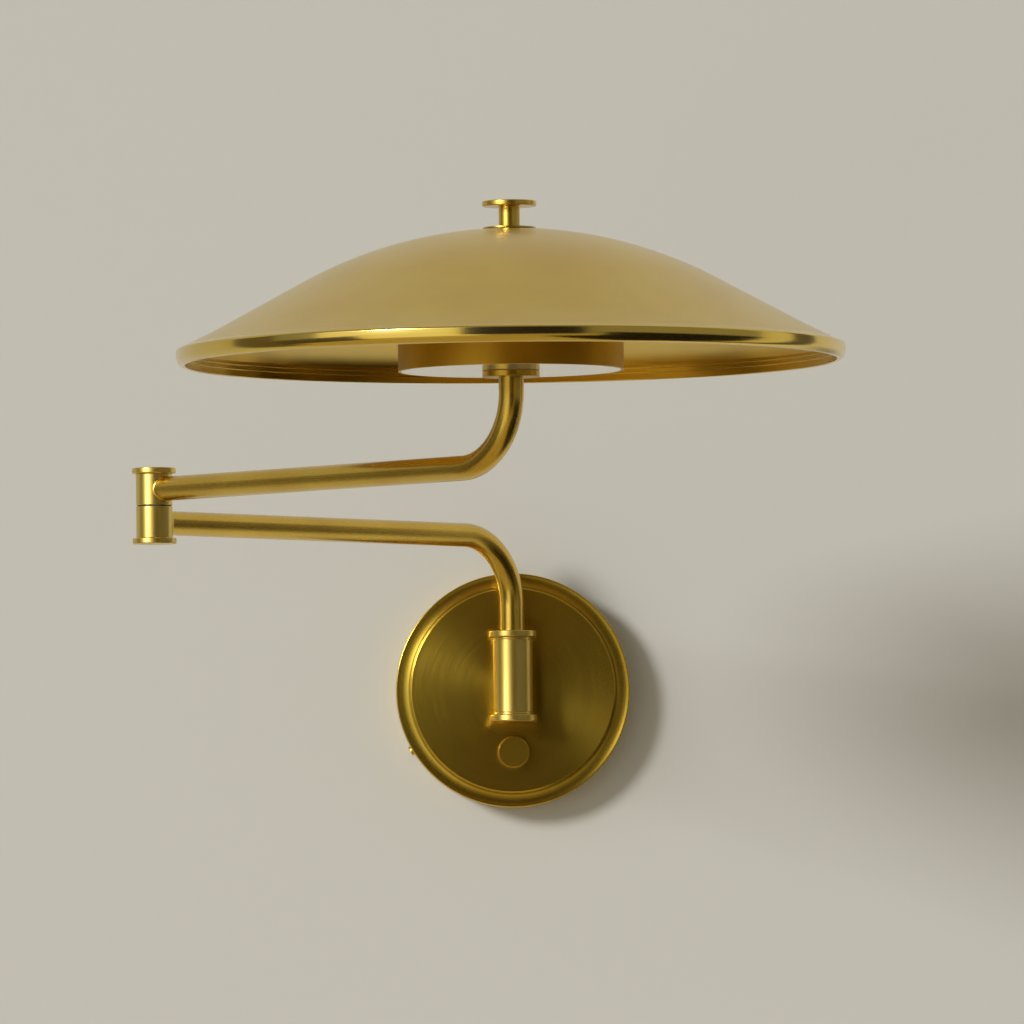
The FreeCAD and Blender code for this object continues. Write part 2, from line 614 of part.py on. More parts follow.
def arm_path(rise, bend, length, upward):
    """From the upright end at the origin, round the bend and out to length at height rise."""
    turn = f"{rise} - {bend}" if upward else f"{rise} + {bend}"
    side = -1 if upward else 1
    return [("0", "0"), ("0", turn, bend, side), (bend, rise), (length, rise)]


def cope(tube):
    """Fit the tube's end to the elbow barrel that it is brazed to."""
    mouth = sketch_on(tube, "XY_Plane")
    draw_circle(mouth, "dim.arm_length", "0", "dim.elbow_dia / 2")
    cut_through(tube, mouth)


def make_lower_arm():
    turn = "180 + dim.arm_angle"
    rise = "(dim.lower_arm_height - dim.spigot_end)"
    tube = bent_rod("lower_arm_tube", arm_path(rise, "dim.bend_radius", "dim.arm_length", True),
                    TUBE_R, "dim.tube_bore / 2")
    cope(tube)
    place(tube, y=WALL_Y, z="dim.spigot_end", turn=turn)
    ring("lower_arm_grommet", LEAD_HOLE, "dim.tube_bore / 2 - dim.fit_gap", "dim.grommet_height",
         y=WALL_Y, z="dim.spigot_end")
    up = "dim.arm_length - dim.lead_bend"
    stud_top = f"({ELBOW_TOP} - dim.plug_depth - dim.fit_gap)"
    path = arm_path(rise, "dim.bend_radius", up, True)
    path[-1] = (up, rise, "dim.lead_bend", 1)
    path.append(("dim.arm_length", f"{rise} + dim.lead_bend"))
    path.append(("dim.arm_length", f"{stud_top} - dim.spigot_end"))
    lead = bent_rod("lower_arm_lead", path, "dim.lead_dia / 2")
    place(lead, y=WALL_Y, z="dim.spigot_end", turn=turn)


def make_elbow():
    at = {"x": ELBOW_X, "y": ELBOW_Y}
    outer = "dim.elbow_dia / 2"
    bore = "dim.elbow_bore / 2"
    half_washer = "dim.friction_washer / 2"
    height = f"({ELBOW_HALF} - {half_washer})"
    web_low = f"{height} - dim.lower_web"
    lower = turned("elbow_lower_barrel", [
        (bore, "0"), (outer, "0"), (outer, height), (NIPPLE_HOLE, height), (NIPPLE_HOLE, web_low),
        (bore, web_low)], z=ELBOW_FLOOR, turn="dim.arm_angle", **at)
    cut_lead_hole(lower, f"dim.lower_arm_height - ({ELBOW_FLOOR})")
    capped_plug("elbow_lower_cap", "dim.elbow_cap_dia / 2", "dim.elbow_cap", f"{bore} - dim.fit_gap",
                "dim.plug_depth", ELBOW_X, ELBOW_Y, f"{ELBOW_FLOOR} - dim.elbow_cap", True)
    bush_r = "dim.elbow_bush_dia / 2"
    upper = turned("elbow_upper_barrel", [
        (f"{bush_r} + dim.fit_gap", "0"), (outer, "0"), (outer, height), (bore, height),
        (bore, "dim.upper_web"), (f"{bush_r} + dim.fit_gap", "dim.upper_web")],
        z=f"{ELBOW_SEAM} + {half_washer}", turn="-dim.arm_angle", **at)
    cut_lead_hole(upper, f"dim.upper_arm_height - {ELBOW_SEAM} - {half_washer}")
    capped_plug("elbow_upper_cap", "dim.elbow_cap_dia / 2", "dim.elbow_cap", f"{bore} - dim.fit_gap",
                "dim.plug_depth", ELBOW_X, ELBOW_Y, f"{ELBOW_TOP} - dim.plug_depth", False)
    ring("elbow_bush", NIPPLE_HOLE, bush_r, "dim.upper_web", z=f"{ELBOW_SEAM} + {half_washer}", **at)
    ring("elbow_friction_washer", NIPPLE_HOLE, f"{outer} - dim.washer_inset", "dim.friction_washer",
         z=f"{ELBOW_SEAM} - {half_washer}", **at)
    make_elbow_stud(at, half_washer)


def cut_lead_hole(barrel, height):
    """The hole through a barrel's wall where the arm's lead comes in."""
    hole = sketch_on(barrel, "YZ_Plane")
    draw_circle(hole, "0", height, LEAD_HOLE)
    cut_one_way(barrel, hole, "dim.elbow_dia", reverse=True)


def make_elbow_stud(at, half_washer):
    web_bottom = f"{ELBOW_SEAM} - {half_washer} - dim.lower_web"
    stack = f"{ELBOW_SEAM} + {half_washer} + dim.upper_web"
    spring_floor = f"{stack} + dim.washer_sheet"
    nut_floor = f"{spring_floor} + dim.disc_spring"
    stud_bottom = f"({web_bottom} - dim.stud_flange)"
    length = f"{nut_floor} + dim.nut_height + dim.fit_gap - {stud_bottom}"
    flange = "dim.stud_flange_dia / 2"
    turned("elbow_stud", [
        ("dim.stud_bore / 2", "0"), (flange, "0"), (flange, "dim.stud_flange"),
        (NIPPLE_R, "dim.stud_flange"), (NIPPLE_R, length), ("dim.stud_bore / 2", length)],
        z=stud_bottom, **at)
    outer = "dim.disc_spring_dia / 2"
    ring("elbow_washer", NIPPLE_HOLE, outer, "dim.washer_sheet", z=stack, **at)
    sheet = "dim.disc_spring / 2"
    turned("elbow_disc_spring", [
        (outer, "0"), (outer, sheet), (NIPPLE_HOLE, "dim.disc_spring"), (NIPPLE_HOLE, sheet)],
        z=spring_floor, **at)
    hex_nut("elbow_nut", "dim.elbow_flats", NIPPLE_HOLE, "dim.nut_height", z=nut_floor, **at)


def make_upper_arm():
    turn = "180 - dim.arm_angle"
    stem_top = f"{DRUM_FLOOR} - dim.collar_height"
    rise = "(dim.collar_height - dim.stem_rise)"
    tube = bent_rod("upper_arm_tube", arm_path(rise, "dim.bend_radius", "dim.arm_length", False),
                    TUBE_R, "dim.tube_bore / 2")
    cope(tube)
    place(tube, y=STEM_Y, z=stem_top, turn=turn)
    lead_top = f"({DRUM_FLOOR} + dim.drum_height / 2)"
    lead_end = "dim.arm_length - dim.elbow_bore / 2 - dim.fit_gap"
    lead = bent_rod("upper_arm_lead", arm_path(
        f"(dim.upper_arm_height - {lead_top})", "dim.bend_radius", lead_end, False), "dim.lead_dia / 2")
    place(lead, y=STEM_Y, z=lead_top, turn=turn)


# Heights in the lamp head, from the drum's lip upward
DRUM_FLOOR = "(dim.upper_arm_height + dim.stem_rise)"
DRUM_TOP = f"{DRUM_FLOOR} + dim.drum_height"
SINK_FLOOR = f"{DRUM_TOP} - dim.drum_sheet - dim.sink_sheet"
BOARD_FLOOR = f"{SINK_FLOOR} - dim.board_sheet"
DOME_CENTRE = f"{DRUM_FLOOR} + dim.shade_rise - dim.dome_radius"


def make_drum():
    outer = "dim.drum_dia / 2"
    inner = f"{outer} - dim.drum_sheet"
    ring("seat_collar", NIPPLE_HOLE, "dim.collar_dia / 2", "dim.collar_height",
         y=STEM_Y, z=f"{DRUM_FLOOR} - dim.collar_height")
    ring("diffuser", NIPPLE_HOLE, f"{inner} - dim.diffuser_gap", "dim.diffuser_sheet",
         y=STEM_Y, z=DRUM_FLOOR)
    turned("lamp_drum", [
        (inner, "0"), (outer, "0"), (outer, "dim.drum_height"), (NIPPLE_HOLE, "dim.drum_height"),
        (NIPPLE_HOLE, "dim.drum_height - dim.drum_sheet"), (inner, "dim.drum_height - dim.drum_sheet")],
        y=STEM_Y, z=DRUM_FLOOR)
    ring("heat_plate", NIPPLE_HOLE, "dim.sink_dia / 2", "dim.sink_sheet", y=STEM_Y, z=SINK_FLOOR)
    ring("lamp_board", "dim.board_hole / 2", "dim.board_dia / 2", "dim.board_sheet", y=STEM_Y, z=BOARD_FLOOR)
    ring("drum_post", NIPPLE_HOLE, "dim.post_dia / 2",
         f"{SINK_FLOOR} - {DRUM_FLOOR} - dim.diffuser_sheet",
         y=STEM_Y, z=f"{DRUM_FLOOR} + dim.diffuser_sheet")
    hex_nut("drum_nut", "dim.drum_nut_flats", NIPPLE_HOLE, "dim.nut_height", y=STEM_Y, z=DRUM_TOP)


def make_lamp_chips():
    chips = []
    for name, radius, count in (("inner", "dim.inner_chip_ring", 10), ("outer", "dim.outer_chip_ring", 18)):
        for index in range(count):
            angle = 360.0 * index / count
            chip = doc.addObject("Part::Box", f"lamp_chip_{name}_{index + 1}")
            for side in ("Length", "Width"):
                chip.setExpression(side, "dim.chip_width")
            chip.setExpression("Height", "dim.chip_height")
            place(chip, f"{radius} * cos({angle}) - dim.chip_width / 2",
                  f"{STEM_Y} + {radius} * sin({angle}) - dim.chip_width / 2",
                  f"{BOARD_FLOOR} - dim.chip_height")
            chips.append(chip)
    group("lamp_chips", chips)


def make_board_screws():
    """Screws from below, with their threads in the heat plate, so they point up."""
    screws = []
    head = "dim.small_screw_head / 2"
    shank = "dim.small_screw_dia / 2"
    neck = "dim.small_head_height"
    top = f"{neck} + dim.board_sheet + dim.sink_sheet"
    for name in ("heat_plate", "lamp_board"):
        sketch = sketch_on(doc.getObject(name), "XY_Plane")
        for angle in (45, 135, 225, 315):
            draw_circle(sketch, f"dim.board_screw_ring * cos({angle})",
                        f"dim.board_screw_ring * sin({angle})", f"{shank} + dim.fit_gap")
        cut_through(doc.getObject(name), sketch)
    for angle in (45, 135, 225, 315):
        screws.append(turned(
            f"board_screw_{angle}",
            [("0", "0"), (head, "0"), (head, neck), (shank, neck), (shank, top), ("0", top)],
            f"dim.board_screw_ring * cos({angle})", f"{STEM_Y} + dim.board_screw_ring * sin({angle})",
            f"{BOARD_FLOOR} - {neck}", keep=False))
    group("board_screws", screws)


def make_shade():
    """Spun dome: a sphere, a tangent cone and a slight flare, butted to a solid rim."""
    hole = NIPPLE_HOLE
    sine = "(dim.dome_reach / dim.dome_radius)"
    cosine = f"sqrt(1 - {sine} ^ 2)"
    cone_top = f"({DOME_CENTRE} + dim.dome_radius * {cosine})"
    cone_foot = f"({cone_top} - (dim.cone_reach - dim.dome_reach) * {sine} / {cosine})"
    flare_round = f"((dim.shade_reach - dim.cone_reach) / ({sine} - sin(dim.flare_slope)))"
    edge = f"({cone_foot} - {flare_round} * (cos(dim.flare_slope) - {cosine}))"
    sheet = "dim.shade_sheet"
    inside_round = f"(dim.dome_radius - {sheet})"
    base = f"({edge} - dim.rim_height)"
    edge_in = (f"dim.shade_reach - {sheet} * sin(dim.flare_slope)",
               f"{edge} - {sheet} * cos(dim.flare_slope) - {base}")
    shade_corners = [
        (hole, f"{DOME_CENTRE} + sqrt(dim.dome_radius ^ 2 - ({hole}) ^ 2) - {base}", "dim.dome_radius", -1),
        ("dim.dome_reach", f"{cone_top} - {base}"),
        ("dim.cone_reach", f"{cone_foot} - {base}", flare_round, 1),
        ("dim.shade_reach", "dim.rim_height"),
        (*edge_in, f"{flare_round} + {sheet}", -1),
        (f"dim.cone_reach - {sheet} * {sine}", f"{cone_foot} - {sheet} * {cosine} - {base}"),
        (f"dim.dome_reach - {sheet} * {sine}", f"{cone_top} - {sheet} * {cosine} - {base}", inside_round, 1),
        (hole, f"{DOME_CENTRE} + sqrt({inside_round} ^ 2 - ({hole}) ^ 2) - {base}")]
    turned("shade", shade_corners, y=STEM_Y, z=base)
    lip = "dim.shade_reach + dim.rim_tuck"
    turned("shade_rim", [
        ("dim.shade_reach", "dim.rim_height", rim_round("dim.rim_swell"), -1),
        ("dim.shade_reach + dim.rim_swell", "dim.rim_height / 2",
         rim_round("(dim.rim_swell - dim.rim_tuck)"), -1),
        (lip, "0"), (f"{lip} - dim.rim_lip", "0"), edge_in], y=STEM_Y, z=base)


def rim_round(swell):
    """The radius of an arc that swells so far over half the rim's height."""
    return f"({swell} ^ 2 + (dim.rim_height / 2) ^ 2) / (2 * {swell})"


def make_finial():
    post_r = "dim.post_dia / 2"
    post_foot = f"({DRUM_TOP} + dim.nut_height)"
    ceiling = f"{DOME_CENTRE} + sqrt((dim.dome_radius - dim.shade_sheet) ^ 2 - ({post_r}) ^ 2)"
    ring("shade_post", NIPPLE_HOLE, post_r, f"{ceiling} - {post_foot}", y=STEM_Y, z=post_foot)
    crown = f"({DOME_CENTRE} + sqrt(dim.dome_radius ^ 2 - ({NIPPLE_HOLE}) ^ 2))"
    ring("finial_foot", NIPPLE_HOLE, "dim.finial_foot_dia / 2", "dim.finial_foot", y=STEM_Y, z=crown)
    cap_floor = "dim.finial_height - dim.finial_cap"
    cap_r = "dim.finial_cap_dia / 2"
    hole_top = f"{cap_floor} - dim.finial_wall"
    stem_r = "dim.finial_stem / 2"
    thread_r = f"{stem_r} - dim.finial_wall"
    turned("finial", [
        (thread_r, "0"), (stem_r, "0"), (stem_r, cap_floor), (cap_r, cap_floor), (cap_r, "dim.finial_height"),
        ("0", "dim.finial_height"), ("0", hole_top), (thread_r, hole_top)],
        y=STEM_Y, z=f"{crown} + dim.finial_foot")
    stem_root = "(dim.upper_arm_height + dim.bend_radius + dim.lead_room)"
    nipple_top = f"{crown} + dim.finial_foot + {hole_top} - dim.fit_gap"
    neck = f"{crown} - dim.shade_sheet - {stem_root}"
    tip = f"{nipple_top} - {stem_root}"
    tip_r = f"{thread_r} - dim.fit_gap"
    turned("head_nipple", [
        ("dim.nipple_bore / 2", "0"), (NIPPLE_R, "0"), (NIPPLE_R, neck), (tip_r, neck), (tip_r, tip),
        ("dim.nipple_bore / 2", tip)], y=STEM_Y, z=stem_root)


make_mounting_plate()
make_canopy()
make_side_screws()
make_barrel_fixing()
make_wall_barrel()
make_dimmer()
make_driver()
make_terminals()
make_lower_arm()
make_elbow()
make_upper_arm()
make_drum()
make_lamp_chips()
make_board_screws()
make_shade()
make_finial()
doc.recompute()

failed = [item.Label for item in doc.Objects if "Invalid" in item.State or "Error" in item.State]
failed += [piece.Label for piece in pieces if piece.Shape.isNull() or not piece.Shape.isValid()]
if failed:
    raise RuntimeError("not built: " + ", ".join(failed))

os.makedirs("parts", exist_ok=True)
for piece in pieces:
    piece.Shape.exportStep(os.path.join("parts", piece.Label + ".step"))
    print(f"{piece.Label}: {len(piece.Shape.Solids)} solids, {piece.Shape.Volume / 1000:.3f} cm3")
print(len(pieces), "pieces")
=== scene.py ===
# %% [markdown]
# # A brass swing-arm wall light
# This lesson dresses a finished CAD model: a round wall canopy, two bent tubes joined by an elbow, and a
# shallow spun shade over a lamp drum. The CAD model is loaded first and never moved. Each visible piece is
# then made again as a finer mesh in the same place, and the pieces nobody sees keep their CAD shape.

# %% Load the CAD frame
import json
import math

import bmesh
import bpy
from mathutils import Matrix, Vector


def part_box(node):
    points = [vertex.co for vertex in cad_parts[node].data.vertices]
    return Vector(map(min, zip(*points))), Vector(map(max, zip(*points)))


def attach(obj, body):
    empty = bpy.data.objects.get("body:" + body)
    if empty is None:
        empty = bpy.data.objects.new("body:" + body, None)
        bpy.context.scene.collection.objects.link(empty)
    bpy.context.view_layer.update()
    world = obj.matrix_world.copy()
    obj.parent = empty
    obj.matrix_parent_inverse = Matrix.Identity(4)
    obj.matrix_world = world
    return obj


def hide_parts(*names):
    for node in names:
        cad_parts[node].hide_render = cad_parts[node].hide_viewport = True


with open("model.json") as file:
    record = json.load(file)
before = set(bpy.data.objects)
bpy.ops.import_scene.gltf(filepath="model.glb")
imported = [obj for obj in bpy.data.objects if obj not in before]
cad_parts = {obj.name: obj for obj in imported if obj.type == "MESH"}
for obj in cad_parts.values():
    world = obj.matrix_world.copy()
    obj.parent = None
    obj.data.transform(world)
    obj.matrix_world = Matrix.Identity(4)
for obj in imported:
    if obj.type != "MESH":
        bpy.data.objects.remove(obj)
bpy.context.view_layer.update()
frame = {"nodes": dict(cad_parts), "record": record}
MM = 0.001

# %% [markdown]
# ## Where things are
# Sizes and places are read from the CAD boxes, so that a changed frame moves the dress with it. Every
# turned piece stands on one of four axes: the canopy's (pointing out of the wall), the wall barrel's, the
# elbow's and the stem's, which carries the lamp head.

# %% Axes and sizes from the frame


def middle(node):
    low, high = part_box(node)
    return (low + high) / 2


def width_of(node):
    low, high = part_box(node)
    return high.x - low.x


def heights_of(node):
    low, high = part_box(node)
    return low.z, high.z


def axis_at(node):
    """The foot of a piece's upright axis."""
    spot = middle(node)
    return Vector((spot.x, spot.y, 0.0))


BARREL_AXIS = axis_at("wall_barrel")
ELBOW_AXIS = axis_at("elbow_lower_barrel")
STEM_AXIS = axis_at("seat_collar")
TUBE_RADIUS = 6.35 * MM
BEND_RADIUS = 37.0 * MM
print("elbow axis, mm:", [round(x / MM, 2) for x in ELBOW_AXIS])
print("stem axis, mm:", [round(x / MM, 2) for x in STEM_AXIS])

# %% [markdown]
# ## Camera
# The photograph is taken with a very long lens from straight in front and a little below, so that the
# shade's underside just shows. The camera leans up by a few degrees and is rolled a little, which lowers the
# left end of the arms.

# %% Camera
FRAME_SIZE = 1024
SENSOR = 36.0
FOCAL_PIXELS = 10800
CAMERA_SPOT = Vector((-0.012, -5.879, -0.194))
CAMERA_YAW = math.radians(-0.123)
CAMERA_PITCH = math.radians(92.842)
CAMERA_ROLL = math.radians(-0.65)

camera_data = bpy.data.cameras.new("photo_camera")
camera_data.sensor_width = SENSOR
camera_data.lens = FOCAL_PIXELS * SENSOR / FRAME_SIZE
camera_data.clip_end = 100.0
camera = bpy.data.objects.new("photo_camera", camera_data)
camera.matrix_world = (Matrix.Translation(CAMERA_SPOT) @ Matrix.Rotation(CAMERA_YAW, 4, "Z")
                       @ Matrix.Rotation(CAMERA_PITCH, 4, "X") @ Matrix.Rotation(CAMERA_ROLL, 4, "Z"))
bpy.context.scene.collection.objects.link(camera)
bpy.context.scene.camera = camera
bpy.context.scene.view_settings.view_transform = "Standard"
print("lens, mm:", round(camera_data.lens, 1))

# %% [markdown]
# ## Building blocks
# Three small helpers do most of the work. One adds a shader or geometry node with its settings and links.
# One rounds the corners of an outline, because no real edge is perfectly sharp and a rounded edge catches
# the light. One spins an outline round an axis, as a lathe or a spinning mandrel does, and keeps on each
# point which way the tool ran over it, for the finish to follow.

# %% Helpers


def linear(code):
    """An sRGB hex colour as linear RGBA."""
    channels = [int(code[i:i + 2], 16) / 255 for i in (1, 3, 5)]
    return (*[c / 12.92 if c <= 0.04045 else ((c + 0.055) / 1.055) ** 2.4 for c in channels], 1.0)


def add(tree, kind, inputs=None, **settings):
    """Add a node with its settings, and set or link its inputs by name or number."""
    node = tree.nodes.new(kind)
    for name, value in settings.items():
        setattr(node, name, value)
    for key, value in (inputs or {}).items():
        if isinstance(value, bpy.types.NodeSocket):
            tree.links.new(value, node.inputs[key])
        else:
            node.inputs[key].default_value = value
    return node


def bow(start, pull, stop, steps):
    """Points of a curve from start to stop that leans towards pull."""
    shares = [step / steps for step in range(steps + 1)]
    return [(1 - t) ** 2 * start + 2 * t * (1 - t) * pull + t ** 2 * stop for t in shares]


def rounded(corners, fillet, closed=True):
    """An outline whose sharp corners are rounded by fillet, or by the corner's own third number."""
    steps, keep_turn = 5, math.radians(20)
    outline = []
    count = len(corners)
    for i, (r, z, *own) in enumerate(corners):
        here = Vector((r, z))
        before, after = Vector(corners[i - 1][:2]) - here, Vector(corners[(i + 1) % count][:2]) - here
        end = not closed and i in (0, count - 1)
        if end or before.length == 0 or after.length == 0 or math.pi - before.angle(after) < keep_turn:
            outline.append((r, z))
            continue
        radius = own[0] if own else fillet
        reach = min(radius / math.tan(before.angle(after) / 2), 0.45 * before.length, 0.45 * after.length)
        start, stop = here + before.normalized() * reach, here + after.normalized() * reach
        outline += [tuple(point) for point in bow(start, here, stop, steps)]
    return outline


def arc(centre, radius, first, last, steps):
    """Points of an arc in the outline's plane, by angles from the radius axis."""
    angles = [first + (last - first) * i / steps for i in range(steps + 1)]
    return [(centre[0] + radius * math.cos(a), centre[1] + radius * math.sin(a)) for a in angles]


ON_AXIS = 1e-7
UPRIGHT = Matrix.Identity(4)
OUT_OF_WALL = Matrix.Rotation(math.radians(90), 4, "X")


def spin(name, outline, foot, facing=UPRIGHT, segments=160):
    """A closed turned mesh. Its lay attribute and its UV map follow the tool: round, and across."""
    bm = bmesh.new()
    lay = bm.verts.layers.float_vector.new("lay")
    widest = max(r for r, z in outline)
    across = [0.0]
    for (r0, z0), (r1, z1) in zip(outline, outline[1:] + outline[:1]):
        across.append(across[-1] + math.hypot(r1 - r0, z1 - z0))
    rings = []
    for i, (r, z) in enumerate(outline):
        ring = []
        for k in range(segments if r > ON_AXIS else 1):
            turn = 2 * math.pi * k / segments
            way = Vector((math.cos(turn), math.sin(turn), 0.0))
            vert = bm.verts.new(way * r + Vector((0.0, 0.0, z)))
            vert[lay] = way * widest + Vector((0.0, 0.0, across[i]))
            ring.append(vert)
        rings.append(ring)
    uv = bm.loops.layers.uv.new("UVMap")
    closed = outline[0][0] > ON_AXIS or outline[-1][0] > ON_AXIS
    for i in range(len(rings) if closed else len(rings) - 1):
        low, high = rings[i], rings[(i + 1) % len(rings)]
        if len(low) == 1 and len(high) == 1:
            continue
        for k in range(segments):
            corners = []
            for ring, step, height in ((low, 0, across[i]), (low, 1, across[i]),
                                       (high, 1, across[i + 1]), (high, 0, across[i + 1])):
                vert = ring[(k + step) % segments] if len(ring) > 1 else ring[0]
                if vert not in [seen for seen, spot in corners]:
                    corners.append((vert, (2 * math.pi * widest * (k + step) / segments, height)))
            face = bm.faces.new([vert for vert, spot in corners])
            for loop, (vert, spot) in zip(face.loops, corners):
                loop[uv].uv = spot
    bmesh.ops.recalc_face_normals(bm, faces=bm.faces)
    bm.transform(Matrix.Translation(foot) @ facing)
    mesh = bpy.data.meshes.new(name)
    bm.to_mesh(mesh)
    bm.free()
    piece = bpy.data.objects.new(name, mesh)
    bpy.context.scene.collection.objects.link(piece)
    return piece


SHARP_TURN = math.radians(40)


def dress(piece, material, body, slot, *nodes):
    """Smooth a piece, give it its finish, hang it on its body, and hide the CAD nodes that it stands for."""
    mesh = piece.data
    mesh.shade_smooth()
    mesh.set_sharp_from_angle(angle=SHARP_TURN)
    mesh.materials.clear()
    mesh.materials.append(material)
    normals = piece.modifiers.new("flat faces stay flat", "WEIGHTED_NORMAL")
    normals.keep_sharp = True
    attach(piece, body)
    if nodes:
        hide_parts(*nodes)
    print(f"{piece.name}: {len(mesh.polygons)} faces on {body}")
    return piece


# %% [markdown]
# ## Stage
# A pale wall stands just behind the canopy, with an opening where the electrical box would be, and a pale
# floor lies far below. Two planes would do for one picture, but the object is also seen from behind and from
# below, so both are clear from their backs.
# Satin metal is coloured by what it mirrors, so the room matters as much as the lamps. Brown cards stand in
# front and at the sides, as a photographer sets them, so that faces that look straight at the camera turn to
# dark gold. A dark card by the wall on the right and a dark mat on the floor there are painted shade: they
# stand in for wall and floor darkened by shadow, so that the tubes and the rim mirror that shade. Only
# reflections see the cards: the camera, the shadows and the matt wall don't.

# %% Stage
WALL_COLOUR = "#D1D0C9"
FLOOR_COLOUR = "#E0D0AC"
BOX_OPENING = 58 * MM
WALL_GAP = 0.3 * MM
STAGE_REACH = 6.0
FLOOR_DROP = 1.3


def stage_paint(name, code):
    """Matt paint that is clear from behind."""
    paint = bpy.data.materials.new(name)
    paint.use_nodes = True
    tree = paint.node_tree
    tree.nodes.clear()
    matt = add(tree, "ShaderNodeBsdfDiffuse", {"Color": linear(code), "Roughness": 0.5})
    clear = add(tree, "ShaderNodeBsdfTransparent")
    side = add(tree, "ShaderNodeNewGeometry")
    mix = add(tree, "ShaderNodeMixShader", {0: side.outputs["Backfacing"], 1: matt.outputs[0],
                                            2: clear.outputs[0]})
    add(tree, "ShaderNodeOutputMaterial", {"Surface": mix.outputs[0]})
    return paint


def stage_sheet(name, points, faces, code):
    """A stage surface of flat faces in matt paint."""
    mesh = bpy.data.meshes.new(name)
    mesh.from_pydata(points, [], faces)
    mesh.materials.append(stage_paint(name + " paint", code))
    sheet = bpy.data.objects.new(name, mesh)
    bpy.context.scene.collection.objects.link(sheet)
    return sheet


OPENING_STEPS = 48
turns = [2 * math.pi * k / OPENING_STEPS for k in range(OPENING_STEPS)]
wall_points = [(reach * math.cos(a), WALL_GAP, reach * math.sin(a))
               for reach in (BOX_OPENING, STAGE_REACH) for a in turns]
wall_faces = []
for k in range(OPENING_STEPS):
    following = (k + 1) % OPENING_STEPS
    wall_faces.append((OPENING_STEPS + k, OPENING_STEPS + following, following, k))
stage_sheet("wall", wall_points, wall_faces, WALL_COLOUR)
floor_corners = [(-1, -1), (1, -1), (1, 0), (-1, 0)]
stage_sheet("floor", [(x * STAGE_REACH, y * STAGE_REACH, -FLOOR_DROP) for x, y in floor_corners],
            [(0, 1, 2, 3)], FLOOR_COLOUR)

CARD_FOOT = -1.28


def upright(left_end, right_end, top, foot=CARD_FOOT):
    """Corners of a standing card, in the order that turns its face to the lamp."""
    return [(*right_end, foot), (*left_end, foot), (*left_end, top), (*right_end, top)]


SHADOW_MAT_NEAR, SHADOW_MAT_FAR, SHADOW_MAT_LEFT, SHADOW_MAT_RIGHT = -2.6, -0.2, 0.45, 2.6
# A standing card has two ends on the floor plan, a top and, where it hangs, a foot of its own, in metres.
CARDS = (("left_card", "#6E6A58", upright((-2.6, -0.3), (-1.9, -1.9), -0.05)),
         ("front_card", "#3A3426", upright((-0.6, -2.5), (0.95, -2.5), 1.3, -0.5)),
         ("right_card", "#2E2A20", upright((1.2, -2.4), (2.4, -0.3), -0.08)),
         ("left_flag", "#8E8872", upright((-1.6, 0.0), (-1.6, -0.6), 0.5)),
         # The dark card by the wall on the right and the dark mat below are painted shade: dark sheets for
         # wall and floor in shadow.
         ("right_flag", "#5A5240", upright((0.8, -0.25), (0.8, 0.0), 0.5)),
         ("right_mat", "#2E2A20", [(SHADOW_MAT_LEFT, SHADOW_MAT_NEAR, CARD_FOOT), (SHADOW_MAT_RIGHT, SHADOW_MAT_NEAR, CARD_FOOT),
                                   (SHADOW_MAT_RIGHT, SHADOW_MAT_FAR, CARD_FOOT), (SHADOW_MAT_LEFT, SHADOW_MAT_FAR, CARD_FOOT)]))
for card_name, code, corners in CARDS:
    card = stage_sheet(card_name, corners, [(0, 1, 2, 3)], code)
    card.visible_camera = False
    card.visible_diffuse = False
    card.visible_shadow = False
print("stage: wall, floor and", len(CARDS), "cards")

# %% [markdown]
# ## Light
# A distant key from the upper left throws the shade's shadow on the wall, a tall soft window in front on the
# left draws the long highlights on the tubes and barrels, and a dim pale room fills in. A picture of a room
# would light the metal too, but three plain sources can be moved one by one, until each highlight falls
# where it should.

# %% Light
KEY_WAY = Vector((0.92, 1.0, -0.45))
KEY_LEVEL = 2.1
KEY_SPREAD = math.radians(14)
WINDOW_WAY = Vector((0.7, 1.0, 0.0))
WINDOW_SPOT = Vector((-1.84, -2.62, 0.35))
WINDOW_WIDTH, WINDOW_HEIGHT = 3.2, 3.1
WINDOW_POWER = 20.0
ROOM_COLOUR = "#FFFCF6"
ROOM_LEVEL = 0.26

key_data = bpy.data.lights.new("distant_key", "SUN")
key_data.energy = KEY_LEVEL
key_data.angle = KEY_SPREAD
window_data = bpy.data.lights.new("soft_window", "AREA")
window_data.shape = "RECTANGLE"
window_data.size = WINDOW_WIDTH
window_data.size_y = WINDOW_HEIGHT
window_data.energy = WINDOW_POWER
for light_data, way, spot in ((key_data, KEY_WAY, -KEY_WAY), (window_data, WINDOW_WAY, WINDOW_SPOT)):
    light = bpy.data.objects.new(light_data.name, light_data)
    light.location = spot
    light.rotation_euler = way.to_track_quat("-Z", "Y").to_euler()
    light.visible_camera = False
    bpy.context.scene.collection.objects.link(light)

room = bpy.data.worlds.new("pale room")
room.use_nodes = True
room.node_tree.nodes.clear()
glow = add(room.node_tree, "ShaderNodeBackground", {"Color": linear(ROOM_COLOUR), "Strength": ROOM_LEVEL})
add(room.node_tree, "ShaderNodeOutputWorld", {"Surface": glow.outputs[0]})
bpy.context.scene.world = room
print("key:", KEY_LEVEL, "window:", WINDOW_POWER, "room:", ROOM_LEVEL)

# %% [markdown]
# ## Brass
# Every metal piece that shows is brass, an alloy of copper and zinc, lacquered after finishing. One
# function makes the alloy: its yellow drifts a little towards brown in cloudy patches, as lacquered brass
# does, and fine lines follow the lay, which is the way the abrasive ran. The lines change roughness and
# height, so the highlight breaks up along them, and a satin highlight is stretched across them. The lacquer
# is the shader's coat, a clear film whose dull shine lies over the metal's own. What differs between the
# finishes is the tint, the film, and how fine, how deep and which way the lines are.

